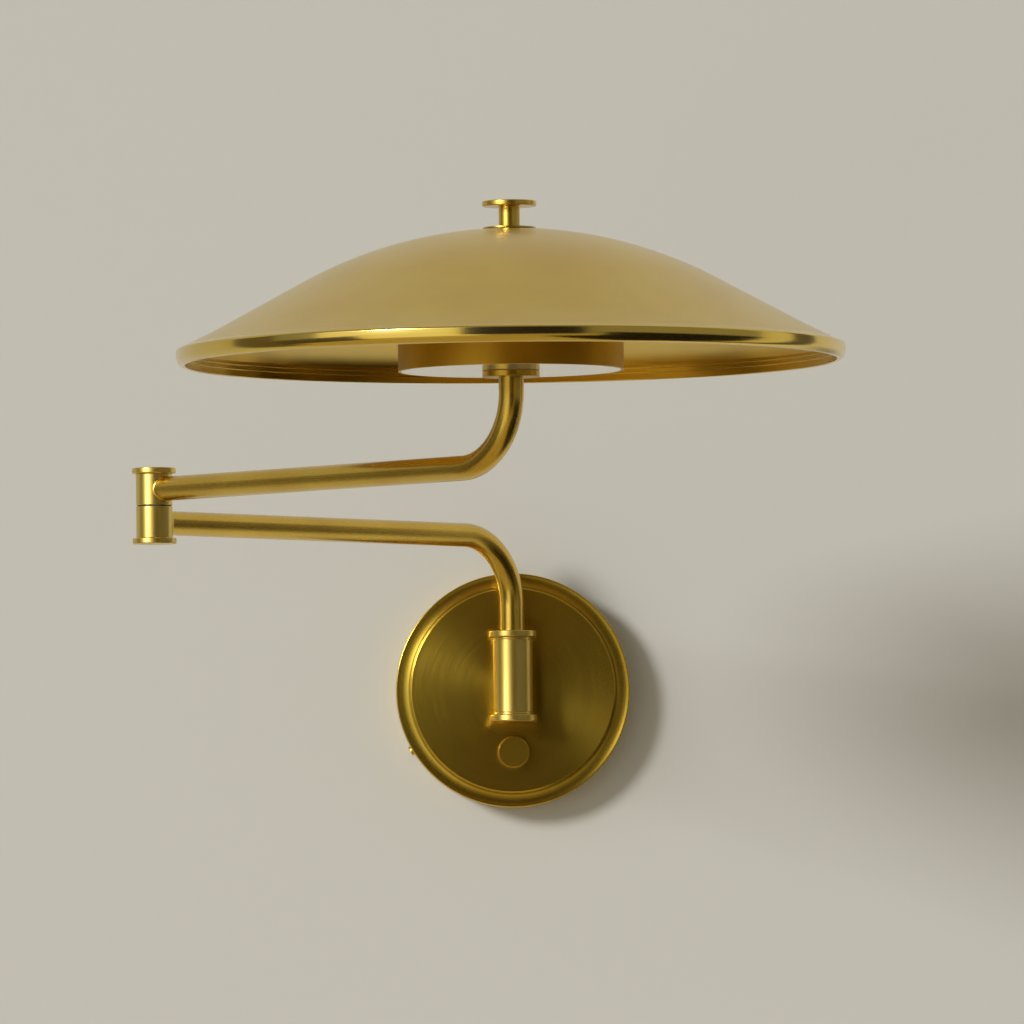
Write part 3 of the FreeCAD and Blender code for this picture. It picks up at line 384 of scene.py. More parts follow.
# %% Brass finishes
# The four tints are one alloy: the pale ones go where the light falls brightest and the deeper ones where
# pieces sit darker, so light and shade are painted into the base colour.
PALE_BRASS = ("#E4C454", "#DEBA4C")
TURNED_BRASS = ("#E0C464", "#D8B856")
DEEP_BRASS = ("#DAB640", "#D0A834")
SHADED_BRASS = ("#C8A032", "#BE942A")
LACQUER_ROUGHNESS = 0.3
CLOUD = 45 * MM
# A quarter turn from the lay, so that a satin highlight spreads across the lines.
SATIN_WAY = 0.25


def brass(name, tints, polish, uneven, line_size, depth, stretch, lacquer):
    """Brass with lines of line_size metres along its lay; stretch pulls the highlight across them."""
    alloy = bpy.data.materials.new(name)
    alloy.use_nodes = True
    tree = alloy.node_tree
    tree.nodes.clear()
    lay = add(tree, "ShaderNodeAttribute", attribute_name="lay")
    size = add(tree, "ShaderNodeMapping",
               {"Vector": lay.outputs["Vector"], "Scale": [1 / length for length in line_size]})
    lines = add(tree, "ShaderNodeTexNoise",
                {"Vector": size.outputs[0], "Scale": 1.0, "Detail": 4.0, "Roughness": 0.65})
    place = add(tree, "ShaderNodeTexCoord")
    cloud = add(tree, "ShaderNodeTexNoise",
                {"Vector": place.outputs["Object"], "Scale": 1 / CLOUD, "Detail": 3.0})
    patch = add(tree, "ShaderNodeMapRange", {"Value": cloud.outputs[0], "From Min": 0.35, "From Max": 0.7})
    colour = add(tree, "ShaderNodeMix",
                 {0: patch.outputs[0], 6: linear(tints[0]), 7: linear(tints[1])}, data_type="RGBA")
    gloss = add(tree, "ShaderNodeMapRange",
                {"Value": lines.outputs[0], "From Min": 0.25, "From Max": 0.75,
                 "To Min": polish - uneven, "To Max": polish + uneven})
    groove = add(tree, "ShaderNodeBump",
                 {"Height": lines.outputs[0], "Strength": 1.0, "Distance": depth})
    shader = {"Base Color": colour.outputs[2], "Metallic": 1.0, "Roughness": gloss.outputs[0],
              "Normal": groove.outputs[0], "Coat Weight": lacquer, "Coat Roughness": LACQUER_ROUGHNESS}
    if stretch:
        way = add(tree, "ShaderNodeTangent", direction_type="UV_MAP", uv_map="UVMap")
        shader |= {"Anisotropic": stretch, "Anisotropic Rotation": SATIN_WAY, "Tangent": way.outputs[0]}
    metal = add(tree, "ShaderNodeBsdfPrincipled", shader)
    add(tree, "ShaderNodeOutputMaterial", {"Surface": metal.outputs[0]})
    return alloy


# Spun on a mandrel and rubbed with a fine pad as it turned: a soft sheen with faint rings.
# The real lines are about 0.1 mm apart; they are drawn at 0.9 mm, or they would not show.
SPUN_LINES = (120 * MM, 120 * MM, 0.9 * MM)
SPUN_DEPTH = 0.0004 * MM
spun_brass = brass("spun satin brass", PALE_BRASS, polish=0.34, uneven=0.03,
                   line_size=SPUN_LINES, depth=SPUN_DEPTH, stretch=0.35, lacquer=0.7)
# The drum is spun the same way, with a deeper tint and a thin film: dull and deep. The deeper tint is
# painted shade, for the drum sits under the shade.
deep_spun = brass("spun brass, shaded", SHADED_BRASS, polish=0.4, uneven=0.03,
                  line_size=SPUN_LINES, depth=SPUN_DEPTH, stretch=0.35, lacquer=0.05)
# Turned on a lathe and left with its tool rings, drawn 0.6 mm apart: tighter than on the spun sheet.
turned_brass = brass("turned satin brass", TURNED_BRASS, polish=0.36, uneven=0.015,
                     line_size=(30 * MM, 30 * MM, 0.6 * MM), depth=0.0001 * MM,
                     stretch=0.3, lacquer=0.4)
# The canopy's face is rubbed round its centre with a coarser pad, which fans its highlights out.
brushed_brass = brass("round-brushed brass", DEEP_BRASS, polish=0.25, uneven=0.025,
                      line_size=(40 * MM, 40 * MM, 0.6 * MM), depth=0.0002 * MM,
                      stretch=0.68, lacquer=0.1)
# Tube drawn through a die and rubbed lengthwise: streaks along the tube, drawn 0.8 mm wide.
drawn_brass = brass("drawn satin brass", DEEP_BRASS, polish=0.27, uneven=0.02,
                    line_size=(60 * MM, 0.8 * MM, 0.8 * MM), depth=0.0002 * MM, stretch=0.0, lacquer=0.6)
# The knob and the collar are faced on the lathe with a fine cut: even, and duller than the canopy. Their
# deepest tint is painted shade, as on the drum.
faced_brass = brass("faced satin brass", SHADED_BRASS, polish=0.28, uneven=0.006,
                    line_size=(60 * MM, 60 * MM, 0.4 * MM), depth=0.00002 * MM, stretch=0.0, lacquer=0.05)
# The finial and its washer are turned, then polished with a cloth as they spin: a narrow, bright glint.
bright_brass = brass("bright turned brass", DEEP_BRASS, polish=0.29, uneven=0.01,
                     line_size=(30 * MM, 30 * MM, 0.5 * MM), depth=0.00002 * MM, stretch=0.0, lacquer=0.8)
# The rim is buffed on a wheel until it mirrors the room; only hairlines are left.
buffed_brass = brass("buffed brass", PALE_BRASS, polish=0.15, uneven=0.025,
                     line_size=(80 * MM, 80 * MM, 0.7 * MM), depth=0.0003 * MM, stretch=0.0, lacquer=0.6)
print("brass finishes:", [m.name for m in bpy.data.materials if "brass" in m.name and m.use_nodes])

# %% [markdown]
# ## Opal acrylic
# The lamp's window is opal PMMA: clear acrylic filled with a fine white powder, cast between glass plates.
# Light goes a little way in and comes back pale and soft, and the cast face on top is as glossy as glass,
# so it mirrors the collar at a low angle. Subsurface scattering gives the depth, a clear coat and a low
# roughness give the gloss, and a slow unevenness is left from casting.

# %% Opal acrylic
OPAL = "#E4DBC0"
OPAL_SHADE = "#DBD0B2"
ACRYLIC_IOR = 1.49
CAST_GLOSS = 0.02
CAST_WAVE = 30 * MM
CAST_SWELL = 0.004 * MM
MILK_DEPTH = 1.5 * MM
opal_acrylic = bpy.data.materials.new("cast opal acrylic")
opal_acrylic.use_nodes = True
tree = opal_acrylic.node_tree
tree.nodes.clear()
place = add(tree, "ShaderNodeTexCoord")
wave = add(tree, "ShaderNodeTexNoise",
           {"Vector": place.outputs["Object"], "Scale": 1 / CAST_WAVE, "Detail": 2.0})
milk = add(tree, "ShaderNodeMix",
           {0: wave.outputs[0], 6: linear(OPAL), 7: linear(OPAL_SHADE)}, data_type="RGBA")
swell = add(tree, "ShaderNodeBump", {"Height": wave.outputs[0], "Strength": 1.0, "Distance": CAST_SWELL})
shell = add(tree, "ShaderNodeBsdfPrincipled", {
    "Base Color": milk.outputs[2], "Roughness": CAST_GLOSS, "IOR": ACRYLIC_IOR, "Normal": swell.outputs[0],
    "Coat Weight": 0.7, "Coat Roughness": CAST_GLOSS,
    "Subsurface Weight": 0.3, "Subsurface Radius": (1.0, 0.95, 0.85), "Subsurface Scale": MILK_DEPTH})
add(tree, "ShaderNodeOutputMaterial", {"Surface": shell.outputs[0]})
print("window:", opal_acrylic.name)

# %% [markdown]
# ## Finishes of the inner pieces
# Nuts, washers, leads and the driver hide inside, but someone may take the light apart, so they are
# finished too. Each is one base colour that drifts to a second one in grains of a real size, with the grain
# felt in the gloss and the height: zinc flakes on steel, sparkle marks in moulded nylon, the weave of a
# board.

# %% Inner finishes


def grained(name, colours, metallic, polish, grain, depth):
    """A finish that drifts between two colours in grains of a real size, in metres."""
    finish = bpy.data.materials.new(name)
    finish.use_nodes = True
    tree = finish.node_tree
    tree.nodes.clear()
    place = add(tree, "ShaderNodeTexCoord")
    grit = add(tree, "ShaderNodeTexNoise",
               {"Vector": place.outputs["Object"], "Scale": 1 / grain, "Detail": 4.0, "Roughness": 0.6})
    tone = add(tree, "ShaderNodeMapRange", {"Value": grit.outputs[0], "From Min": 0.3, "From Max": 0.7})
    colour = add(tree, "ShaderNodeMix",
                 {0: tone.outputs[0], 6: linear(colours[0]), 7: linear(colours[1])}, data_type="RGBA")
    gloss = add(tree, "ShaderNodeMapRange",
                {"Value": grit.outputs[0], "To Min": 0.8 * polish, "To Max": 1.2 * polish})
    bump = add(tree, "ShaderNodeBump", {"Height": grit.outputs[0], "Strength": 1.0, "Distance": depth})
    surface = add(tree, "ShaderNodeBsdfPrincipled",
                  {"Base Color": colour.outputs[2], "Metallic": metallic, "Roughness": gloss.outputs[0],
                   "Normal": bump.outputs[0]})
    add(tree, "ShaderNodeOutputMaterial", {"Surface": surface.outputs[0]})
    return finish


INNER = {
    # Bright zinc plate on mild steel: bluish grey with small flakes.
    "zinc_steel": grained("zinc plated steel", ("#B9BCC0", "#9DA2A8"), 1.0, 0.32, 1.2 * MM, 0.002 * MM),
    # Oil-filled sintered bronze: brown, dull and slightly porous.
    "bearing_bronze": grained("sintered bronze", ("#A9783F", "#8A5D2C"), 1.0, 0.45, 0.5 * MM, 0.004 * MM),
    # Earth screws are passivated green.
    "earth_green": grained("green passivated steel", ("#4E8A4A", "#3C7440"), 0.8, 0.35,
                           1.0 * MM, 0.002 * MM),
    # Glass-filled nylon moulded in a spark-eroded tool: near black, fine sparkle texture.
    "dark_nylon": grained("moulded black nylon", ("#24231F", "#2F2D29"), 0.0, 0.5, 0.6 * MM, 0.006 * MM),
    # Flame-retardant nylon for mains parts: off-white, moulded.
    "pale_nylon": grained("moulded white nylon", ("#DAD8D0", "#CFCCC2"), 0.0, 0.45, 0.7 * MM, 0.006 * MM),
    # PVC jacket, extruded, softly shiny.
    "lead_jacket": grained("extruded PVC jacket", ("#C9B98F", "#B9A87C"), 0.0, 0.4, 1.5 * MM, 0.003 * MM),
    # Rolled aluminium heat plate.
    "heat_aluminium": grained("rolled aluminium", ("#CDCED0", "#B8BABD"), 1.0, 0.38, 2.0 * MM, 0.002 * MM),
    # Lamp board in white solder mask over glass weave.
    "board_white": grained("white solder mask", ("#EFEEE9", "#E4E3DC"), 0.0, 0.35, 0.8 * MM, 0.004 * MM),
    # Yellow phosphor under silicone.
    "chip_yellow": grained("phosphor silicone", ("#E3C14E", "#D3AB38"), 0.0, 0.5, 0.4 * MM, 0.003 * MM),
}
print("inner finishes:", len(INNER))

# %% [markdown]
# ## Canopy
# The round cover on the wall is pressed from sheet brass: a raised flat centre, a small step, and a band
# with a very shallow cove and a rounded edge. It could be beveled from a cylinder, but a spun outline gives
# the step, the cove and the edge their exact section, and a hollow back.

# %% Canopy
CANOPY_RADIUS = width_of("canopy") / 2
CANOPY_DEPTH = -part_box("canopy")[0].y
CENTRE_RADIUS = 55.5 * MM
STEP = 1.5 * MM
LAND = 1.0 * MM
BAND_COVE = 0.4 * MM
SHEET = 1.2 * MM
SHOULDER_ROUND = 1.1 * MM
STEP_ROUND = 0.7 * MM
EDGE_ROUND = 1.4 * MM
FOLD_ROUND = 0.3 * MM
COVE_STEPS = 12
WALL_AXIS = Vector((0.0, 0.0, 0.0))

land_top = CANOPY_DEPTH - STEP
band_start = CENTRE_RADIUS + LAND
band_width = CANOPY_RADIUS - band_start
cove = []
for i in range(COVE_STEPS - 2):
    t = i / COVE_STEPS
    cove.append((band_start + band_width * t, land_top - 4 * BAND_COVE * t * (1 - t)))
inside_top = CANOPY_DEPTH - SHEET
band_inside = land_top - SHEET - BAND_COVE
canopy_outline = [(0.0, CANOPY_DEPTH), (CENTRE_RADIUS, CANOPY_DEPTH, SHOULDER_ROUND),
                  (CENTRE_RADIUS, land_top, STEP_ROUND), *cove,
                  (CANOPY_RADIUS, land_top, EDGE_ROUND), (CANOPY_RADIUS, 0.0),
                  (CANOPY_RADIUS - SHEET, 0.0), (CANOPY_RADIUS - SHEET, band_inside),
                  (CENTRE_RADIUS - SHEET, band_inside), (CENTRE_RADIUS - SHEET, inside_top),
                  (0.0, inside_top)]
canopy = spin("wall_canopy", rounded(canopy_outline, FOLD_ROUND, closed=False), WALL_AXIS, OUT_OF_WALL, 240)
dress(canopy, brushed_brass, "wall_mount", "satin_brass", "canopy")

# %% [markdown]
# ## What repeats: Geometry Nodes
# Two side screws hold the canopy, on two of three even places, and forty-odd ridges ring the dimmer knob.
# Both are one small shape repeated round an axis, so one tree does both: it stands copies on a ring of
# points, keeps the first so many, turns each one to face outward, joins them to the core, makes them real
# and sets the finish. The result is then turned into a plain mesh, because an export knows nothing of
# instances.

# %% The ring tree


def ring_tree():
    """A tree that stands copies of a shape round the Z axis and joins them to a core."""
    tree = bpy.data.node_groups.new("copies round an axis", "GeometryNodeTree")
    face = tree.interface
    for name, kind in (("Core", "Geometry"), ("Copy", "Object"), ("Count", "Int"), ("Kept", "Int"),
                       ("Radius", "Float"), ("Height", "Float"), ("First turn", "Float"),
                       ("Finish", "Material")):
        face.new_socket(name, in_out="INPUT", socket_type="NodeSocket" + kind)
    face.new_socket("Piece", in_out="OUTPUT", socket_type="NodeSocketGeometry")
    given = add(tree, "NodeGroupInput").outputs
    ring = add(tree, "GeometryNodeMeshCircle", {"Vertices": given["Count"], "Radius": given["Radius"]})
    outward = add(tree, "FunctionNodeAlignRotationToVector",
                  {"Vector": add(tree, "GeometryNodeInputPosition").outputs[0]}, axis="Z")
    level = add(tree, "FunctionNodeAlignRotationToVector",
                {"Rotation": outward.outputs[0], "Vector": (0.0, 0.0, 1.0)}, axis="X", pivot_axis="Z")
    copy = add(tree, "GeometryNodeObjectInfo", {"Object": given["Copy"]})
    kept = add(tree, "FunctionNodeCompare",
               {2: add(tree, "GeometryNodeInputIndex").outputs[0], 3: given["Kept"]},
               data_type="INT", operation="LESS_THAN")
    copies = add(tree, "GeometryNodeInstanceOnPoints",
                 {"Points": ring.outputs["Mesh"], "Selection": kept.outputs[0],
                  "Instance": copy.outputs["Geometry"], "Rotation": level.outputs[0]})
    lift = add(tree, "ShaderNodeCombineXYZ", {"Z": given["Height"]})
    turn = add(tree, "ShaderNodeCombineXYZ", {"Z": given["First turn"]})
    placed = add(tree, "GeometryNodeTransform",
                 {"Geometry": copies.outputs[0], "Translation": lift.outputs[0],
                  "Rotation": turn.outputs[0]})
    whole = add(tree, "GeometryNodeJoinGeometry", {0: placed.outputs[0]})
    tree.links.new(given["Core"], whole.inputs[0])
    real = add(tree, "GeometryNodeRealizeInstances", {0: whole.outputs[0]})
    finished = add(tree, "GeometryNodeSetMaterial",
                   {"Geometry": real.outputs[0], "Material": given["Finish"]})
    add(tree, "NodeGroupOutput", {"Piece": finished.outputs[0]})
    return tree


def grow(name, core, tree, facing=UPRIGHT, foot=WALL_AXIS, **sizes):
    """Run a tree on a core with its inputs set by identifier, and keep the plain mesh that it gives."""
    modifier = core.modifiers.new(tree.name, "NODES")
    modifier.node_group = tree
    for item in tree.interface.items_tree:
        if item.in_out == "INPUT" and item.name in sizes:
            modifier[item.identifier] = sizes[item.name]
    bpy.context.view_layer.update()
    mesh = bpy.data.meshes.new_from_object(core.evaluated_get(bpy.context.evaluated_depsgraph_get()))
    mesh.transform(Matrix.Translation(foot) @ facing)
    mesh.name = name
    bpy.data.objects.remove(core)
    piece = bpy.data.objects.new(name, mesh)
    bpy.context.scene.collection.objects.link(piece)
    return piece


copies_round = ring_tree()
print("tree:", copies_round.name, len(copies_round.nodes), "nodes")

# %% [markdown]
# ## Side screws
# A slotted pan-head screw sits at eight o'clock on the canopy's side, and one at the top behind the arm. One
# head is spun and its slot is cut with a boolean, which is the quickest way to a clean slot in a round head.

# %% Side screws
SCREW_HEAD = 2.75 * MM
SCREW_PROUD = 1.4 * MM
SCREW_SLOT = 0.8 * MM
SCREW_DEPTH = 6.0 * MM
SCREW_FOOT = -0.4 * MM
SCREW_DOME = 0.8 * MM
SCREW_EDGE = 0.1 * MM
SCREW_PLACES = 3
SCREWS = 2
FIRST_SCREW = math.radians(90)
head_outline = [(0.0, SCREW_FOOT), (SCREW_HEAD, SCREW_FOOT), (SCREW_HEAD, SCREW_PROUD, SCREW_DOME),
                (0.0, SCREW_PROUD)]
head = spin("screw_head", rounded(head_outline, SCREW_EDGE, closed=False), WALL_AXIS, UPRIGHT, 48)
slot_box = bpy.data.meshes.new("screw_slot")
bm = bmesh.new()
bmesh.ops.create_cube(bm, size=1.0, matrix=Matrix.Translation((0, 0, SCREW_PROUD))
                      @ Matrix.Diagonal((4 * SCREW_HEAD, SCREW_SLOT, SCREW_PROUD, 1.0)))
bm.to_mesh(slot_box)
bm.free()
slot_cutter = bpy.data.objects.new("screw_slot", slot_box)
bpy.context.scene.collection.objects.link(slot_cutter)
cut = head.modifiers.new("slot", "BOOLEAN")
cut.object = slot_cutter
empty_core = bpy.data.objects.new("screw_core", bpy.data.meshes.new("screw_core"))
bpy.context.scene.collection.objects.link(empty_core)
side_screws = grow("canopy_screws", empty_core, copies_round, OUT_OF_WALL, WALL_AXIS, Copy=head,
                   Count=SCREW_PLACES, Kept=SCREWS, Radius=CANOPY_RADIUS, Height=SCREW_DEPTH,
                   Finish=turned_brass, **{"First turn": FIRST_SCREW})
bpy.data.objects.remove(slot_cutter)
bpy.data.objects.remove(head)
dress(side_screws, turned_brass, "wall_mount", "satin_brass", "canopy_side_screws")

# %% [markdown]
# ## Dimmer knob
# A small flat knob below the barrel, turned from bar, with a chamfered face and a straight knurl for grip.
# The knurl is real ridges, because their rounded tips glitter along the edge where a bump would not.

# %% Dimmer knob
knob_low, knob_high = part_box("dimmer_knob")
KNOB_RADIUS = width_of("dimmer_knob") / 2
KNOB_HEIGHT = knob_high.y - knob_low.y
KNURL_COUNT = 44
KNURL_DEPTH = 0.35 * MM
KNOB_CHAMFER = 0.4 * MM
KNOB_EDGE = 0.12 * MM
# A ridge fills a share of its pitch, is short of the knob and set back by shares of the chamfer, and
# tapers at its ends to a share of its height.
RIDGE_SHARE = 0.8
RIDGE_SHORT = 1.6
RIDGE_BACK = 0.3
RIDGE_TIP = 0.3
knob_foot = Vector((0.0, knob_high.y, middle("dimmer_knob").z))
core_radius = KNOB_RADIUS - KNURL_DEPTH
knob_core = spin("knob_core", rounded([
    (0.0, 0.0), (core_radius, 0.0), (core_radius, KNOB_HEIGHT - KNOB_CHAMFER),
    (core_radius - KNOB_CHAMFER, KNOB_HEIGHT), (0.0, KNOB_HEIGHT)],
    KNOB_EDGE, closed=False), WALL_AXIS, UPRIGHT, 132)
bm = bmesh.new()
ridge_half = math.pi * core_radius / KNURL_COUNT * RIDGE_SHARE
ridge_reach = (KNOB_HEIGHT - RIDGE_SHORT * KNOB_CHAMFER) / 2
ridge_full = ridge_reach - KNURL_DEPTH
section = [(-1.0, -0.3), (-0.55, 0.55), (-0.2, 0.95), (0.2, 0.95), (0.55, 0.55), (1.0, -0.3)]
stations = ((-ridge_reach, RIDGE_TIP), (-ridge_full, 1.0), (ridge_full, 1.0), (ridge_reach, RIDGE_TIP))
rings = []
for along, swell in stations:
    rings.append([bm.verts.new((along, x * ridge_half, z * KNURL_DEPTH * swell)) for x, z in section])
for low, high in zip(rings, rings[1:]):
    for k in range(len(section)):
        bm.faces.new((low[k - 1], low[k], high[k], high[k - 1]))
bm.faces.new(rings[0])
bm.faces.new(rings[-1][::-1])
bmesh.ops.recalc_face_normals(bm, faces=bm.faces)
ridge_mesh = bpy.data.meshes.new("knurl_ridge")
bm.to_mesh(ridge_mesh)
bm.free()
ridge = bpy.data.objects.new("knurl_ridge", ridge_mesh)
bpy.context.scene.collection.objects.link(ridge)
knob = grow("dimmer_knob_knurled", knob_core, copies_round, OUT_OF_WALL, knob_foot, Copy=ridge,
            Count=KNURL_COUNT, Kept=KNURL_COUNT, Radius=core_radius,
            Height=KNOB_HEIGHT / 2 - RIDGE_BACK * KNOB_CHAMFER, Finish=faced_brass)
bpy.data.objects.remove(ridge)
dress(knob, faced_brass, "knob", "satin_brass", "dimmer_knob")

# %% [markdown]
# ## Wall barrel
# The upright barrel that the lower arm swings in is turned from bar. A wider ring caps its top and a wider
# plug its foot, each with a hairline groove beside it where two turned pieces meet. A short spacer holds it
# off the canopy.

# %% Barrel, caps and spacer
EDGE = 0.35 * MM
ROLLED_EDGE = 0.6 * MM
GROOVE = 0.3 * MM


def barrel(name, radius, bore, low, high, foot, grooves=()):
    """A tube with soft edges and V grooves at given heights."""
    outline = [(bore, low), (radius, low)]
    for height in grooves:
        outline += [(radius, height - GROOVE), (radius - GROOVE, height), (radius, height + GROOVE)]
    outline += [(radius, high), (bore, high)]
    return spin(name, rounded(outline, EDGE), foot, segments=128)


def disc(name, radius, bore, low, high, foot, edge=ROLLED_EDGE):
    """A flat turned disc, or a ring where it has a bore, with rolled edges."""
    outline = [(bore, low), (radius, low, edge), (radius, high, edge), (bore, high)]
    return spin(name, rounded(outline, EDGE, closed=bore > 0), foot)


BARREL_RADIUS = width_of("wall_barrel") / 2
BARREL_WALL = 2.0 * MM
GROOVE_INSET = 1.3 * MM
RING_GAP = 0.25 * MM
barrel_foot, barrel_top = heights_of("wall_barrel")
dress(barrel("barrel_turned", BARREL_RADIUS, BARREL_RADIUS - BARREL_WALL, barrel_foot, barrel_top,
             BARREL_AXIS, (barrel_foot + GROOVE_INSET, barrel_top - GROOVE_INSET)),
      turned_brass, "wall_mount", "satin_brass", "wall_barrel")
ring_top = heights_of("barrel_top_ring")[1]
dress(disc("barrel_ring", width_of("barrel_top_ring") / 2, TUBE_RADIUS + RING_GAP, barrel_top, ring_top,
           BARREL_AXIS),
      turned_brass, "wall_mount", "satin_brass", "barrel_top_ring")
plug_foot = heights_of("barrel_bottom_cap")[0]
dress(disc("barrel_plug", width_of("barrel_bottom_cap") / 2, 0.0, plug_foot, barrel_foot, BARREL_AXIS),
      turned_brass, "wall_mount", "satin_brass", "barrel_bottom_cap")
spacer_low, spacer_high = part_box("nipple_spacer")
spacer_length = spacer_high.y - spacer_low.y
spacer_radius = width_of("nipple_spacer") / 2
spacer_foot = Vector((middle("nipple_spacer").x, spacer_high.y, middle("nipple_spacer").z))
spacer_outline = [(0.0, 0.0), (spacer_radius, 0.0), (spacer_radius, spacer_length), (0.0, spacer_length)]
dress(spin("barrel_spacer", rounded(spacer_outline, EDGE, closed=False), spacer_foot, OUT_OF_WALL, 96),
      turned_brass, "wall_mount", "satin_brass", "nipple_spacer")

# %% [markdown]
# ## Arm tubes
# Each arm is half-inch tube with one bend, so it follows a rule: two straight runs and a round corner. A
# Geometry Nodes tree takes three points, rounds the corner, and sweeps a circle along the line. It also
# keeps where each point was on the straight tube before bending, which is the way the tube was drawn and
# rubbed; the brass reads that as its lay.

# %% The bent tube tree


def bent_tube_tree():
    """A tree that turns a line of three points into a tube with one round bend."""
    tree = bpy.data.node_groups.new("bent tube", "GeometryNodeTree")
    face = tree.interface
    for name, kind in (("Corners", "Geometry"), ("Tube radius", "Float"), ("Bend radius", "Float"),
                       ("Bend steps", "Int"), ("Sides", "Int"), ("Finish", "Material")):
        face.new_socket(name, in_out="INPUT", socket_type="NodeSocket" + kind)
    face.new_socket("Tube", in_out="OUTPUT", socket_type="NodeSocketGeometry")
    given = add(tree, "NodeGroupInput").outputs
    line = add(tree, "GeometryNodeMeshToCurve", {"Mesh": given["Corners"]})
    bend = add(tree, "GeometryNodeFilletCurve",
               {"Curve": line.outputs[0], "Radius": given["Bend radius"], "Count": given["Bend steps"]},
               mode="POLY")
    along = add(tree, "GeometryNodeCaptureAttribute", {0: bend.outputs[0]})
    along.capture_items.new("FLOAT", "along")
    tree.links.new(add(tree, "GeometryNodeSplineParameter").outputs["Length"], along.inputs[1])
    circle = add(tree, "GeometryNodeCurvePrimitiveCircle",
                 {"Resolution": given["Sides"], "Radius": given["Tube radius"]})
    round_it = add(tree, "GeometryNodeCaptureAttribute", {0: circle.outputs[0]})
    round_it.capture_items.new("VECTOR", "round")
    tree.links.new(add(tree, "GeometryNodeInputPosition").outputs[0], round_it.inputs[1])
    tube = add(tree, "GeometryNodeCurveToMesh",
               {"Curve": along.outputs[0], "Profile Curve": round_it.outputs[0], "Fill Caps": True})
    spot = add(tree, "ShaderNodeSeparateXYZ", {0: round_it.outputs[1]})
    straight = add(tree, "ShaderNodeCombineXYZ",
                   {"X": along.outputs[1], "Y": spot.outputs["X"], "Z": spot.outputs["Y"]})
    drawn = add(tree, "GeometryNodeStoreNamedAttribute",
                {"Geometry": tube.outputs[0], "Name": "lay", "Value": straight.outputs[0]},
                data_type="FLOAT_VECTOR", domain="POINT")
    real = add(tree, "GeometryNodeRealizeInstances", {0: drawn.outputs[0]})
    finished = add(tree, "GeometryNodeSetMaterial",
                   {"Geometry": real.outputs[0], "Material": given["Finish"]})
    add(tree, "NodeGroupOutput", {"Tube": finished.outputs[0]})
    return tree


bent_tube = bent_tube_tree()
BEND_STEPS = 40
TUBE_SIDES = 96


def arm(name, corners):
    """A bent tube along three corners."""
    mesh = bpy.data.meshes.new(name + "_line")
    mesh.from_pydata(corners, [(0, 1), (1, 2)], [])
    line = bpy.data.objects.new(name + "_line", mesh)
    bpy.context.scene.collection.objects.link(line)
    return grow(name, line, bent_tube, Finish=drawn_brass, Sides=TUBE_SIDES,
                **{"Tube radius": TUBE_RADIUS, "Bend radius": BEND_RADIUS, "Bend steps": BEND_STEPS})


lower_low, lower_high = heights_of("lower_arm_tube")
upper_low, upper_high = heights_of("upper_arm_tube")
LOWER_HEIGHT = Vector((0.0, 0.0, lower_high - TUBE_RADIUS))
UPPER_HEIGHT = Vector((0.0, 0.0, upper_low + TUBE_RADIUS))
ELBOW_RADIUS = width_of("elbow_lower_barrel") / 2
TUBE_SINK = 2.6 * MM
lower_way = (ELBOW_AXIS - BARREL_AXIS).normalized()
upper_way = (ELBOW_AXIS - STEM_AXIS).normalized()
tube_end = ELBOW_RADIUS - TUBE_SINK
lower_arm = arm("lower_arm_drawn", [BARREL_AXIS + Vector((0.0, 0.0, lower_low)), BARREL_AXIS + LOWER_HEIGHT,
                                    ELBOW_AXIS + LOWER_HEIGHT - lower_way * tube_end])
dress(lower_arm, drawn_brass, "lower_arm", "satin_brass", "lower_arm_tube")
upper_arm = arm("upper_arm_drawn", [ELBOW_AXIS + UPPER_HEIGHT - upper_way * tube_end,
                                    STEM_AXIS + UPPER_HEIGHT, STEM_AXIS + Vector((0.0, 0.0, upper_high))])
dress(upper_arm, drawn_brass, "upper_arm", "satin_brass", "upper_arm_tube")

# %% [markdown]
# ## Elbow
# Two short barrels, one on each arm, meet at a thin dark friction washer, and a flat cap closes each end.
# They are turned like the wall barrel, so the same two functions make them.

# %% Elbow
ELBOW_BORE = 7.6 * MM
SEAM_BORE = ELBOW_BORE - 2 * MM
SEAM_EDGE = 0.1 * MM
seam_low, seam_high = heights_of("elbow_friction_washer")
lower_floor, lower_top = heights_of("elbow_lower_barrel")
upper_floor, upper_top = heights_of("elbow_upper_barrel")
dress(barrel("elbow_lower_turned", ELBOW_RADIUS, ELBOW_BORE, lower_floor, lower_top, ELBOW_AXIS),
      turned_brass, "lower_arm", "satin_brass", "elbow_lower_barrel")
dress(barrel("elbow_upper_turned", ELBOW_RADIUS, ELBOW_BORE, upper_floor, upper_top, ELBOW_AXIS),
      turned_brass, "upper_arm", "satin_brass", "elbow_upper_barrel")
dress(disc("elbow_seam_washer", width_of("elbow_friction_washer") / 2, SEAM_BORE, seam_low, seam_high,
           ELBOW_AXIS, SEAM_EDGE),
      INNER["dark_nylon"], "lower_arm", "dark_nylon", "elbow_friction_washer")
cap_foot = heights_of("elbow_lower_cap")[0]
cap_top = heights_of("elbow_upper_cap")[1]
ELBOW_CAP = width_of("elbow_lower_cap") / 2
dress(disc("elbow_lower_disc", ELBOW_CAP, 0.0, cap_foot, lower_floor, ELBOW_AXIS),
      turned_brass, "lower_arm", "satin_brass", "elbow_lower_cap")
dress(disc("elbow_upper_disc", ELBOW_CAP, 0.0, upper_top, cap_top, ELBOW_AXIS),
      turned_brass, "upper_arm", "satin_brass", "elbow_upper_cap")

# %% [markdown]
# ## Braze
# Each tube is brazed to its barrel: a thin run of filler softens the line where they meet. A boolean and a
# bevel could do it, but they leave an untidy mesh on such a curved line. The line is where two cylinders
# cross, so it is worked out from their radii, and the filler is a small hollow fillet between a line on the
# tube and a line on the barrel.

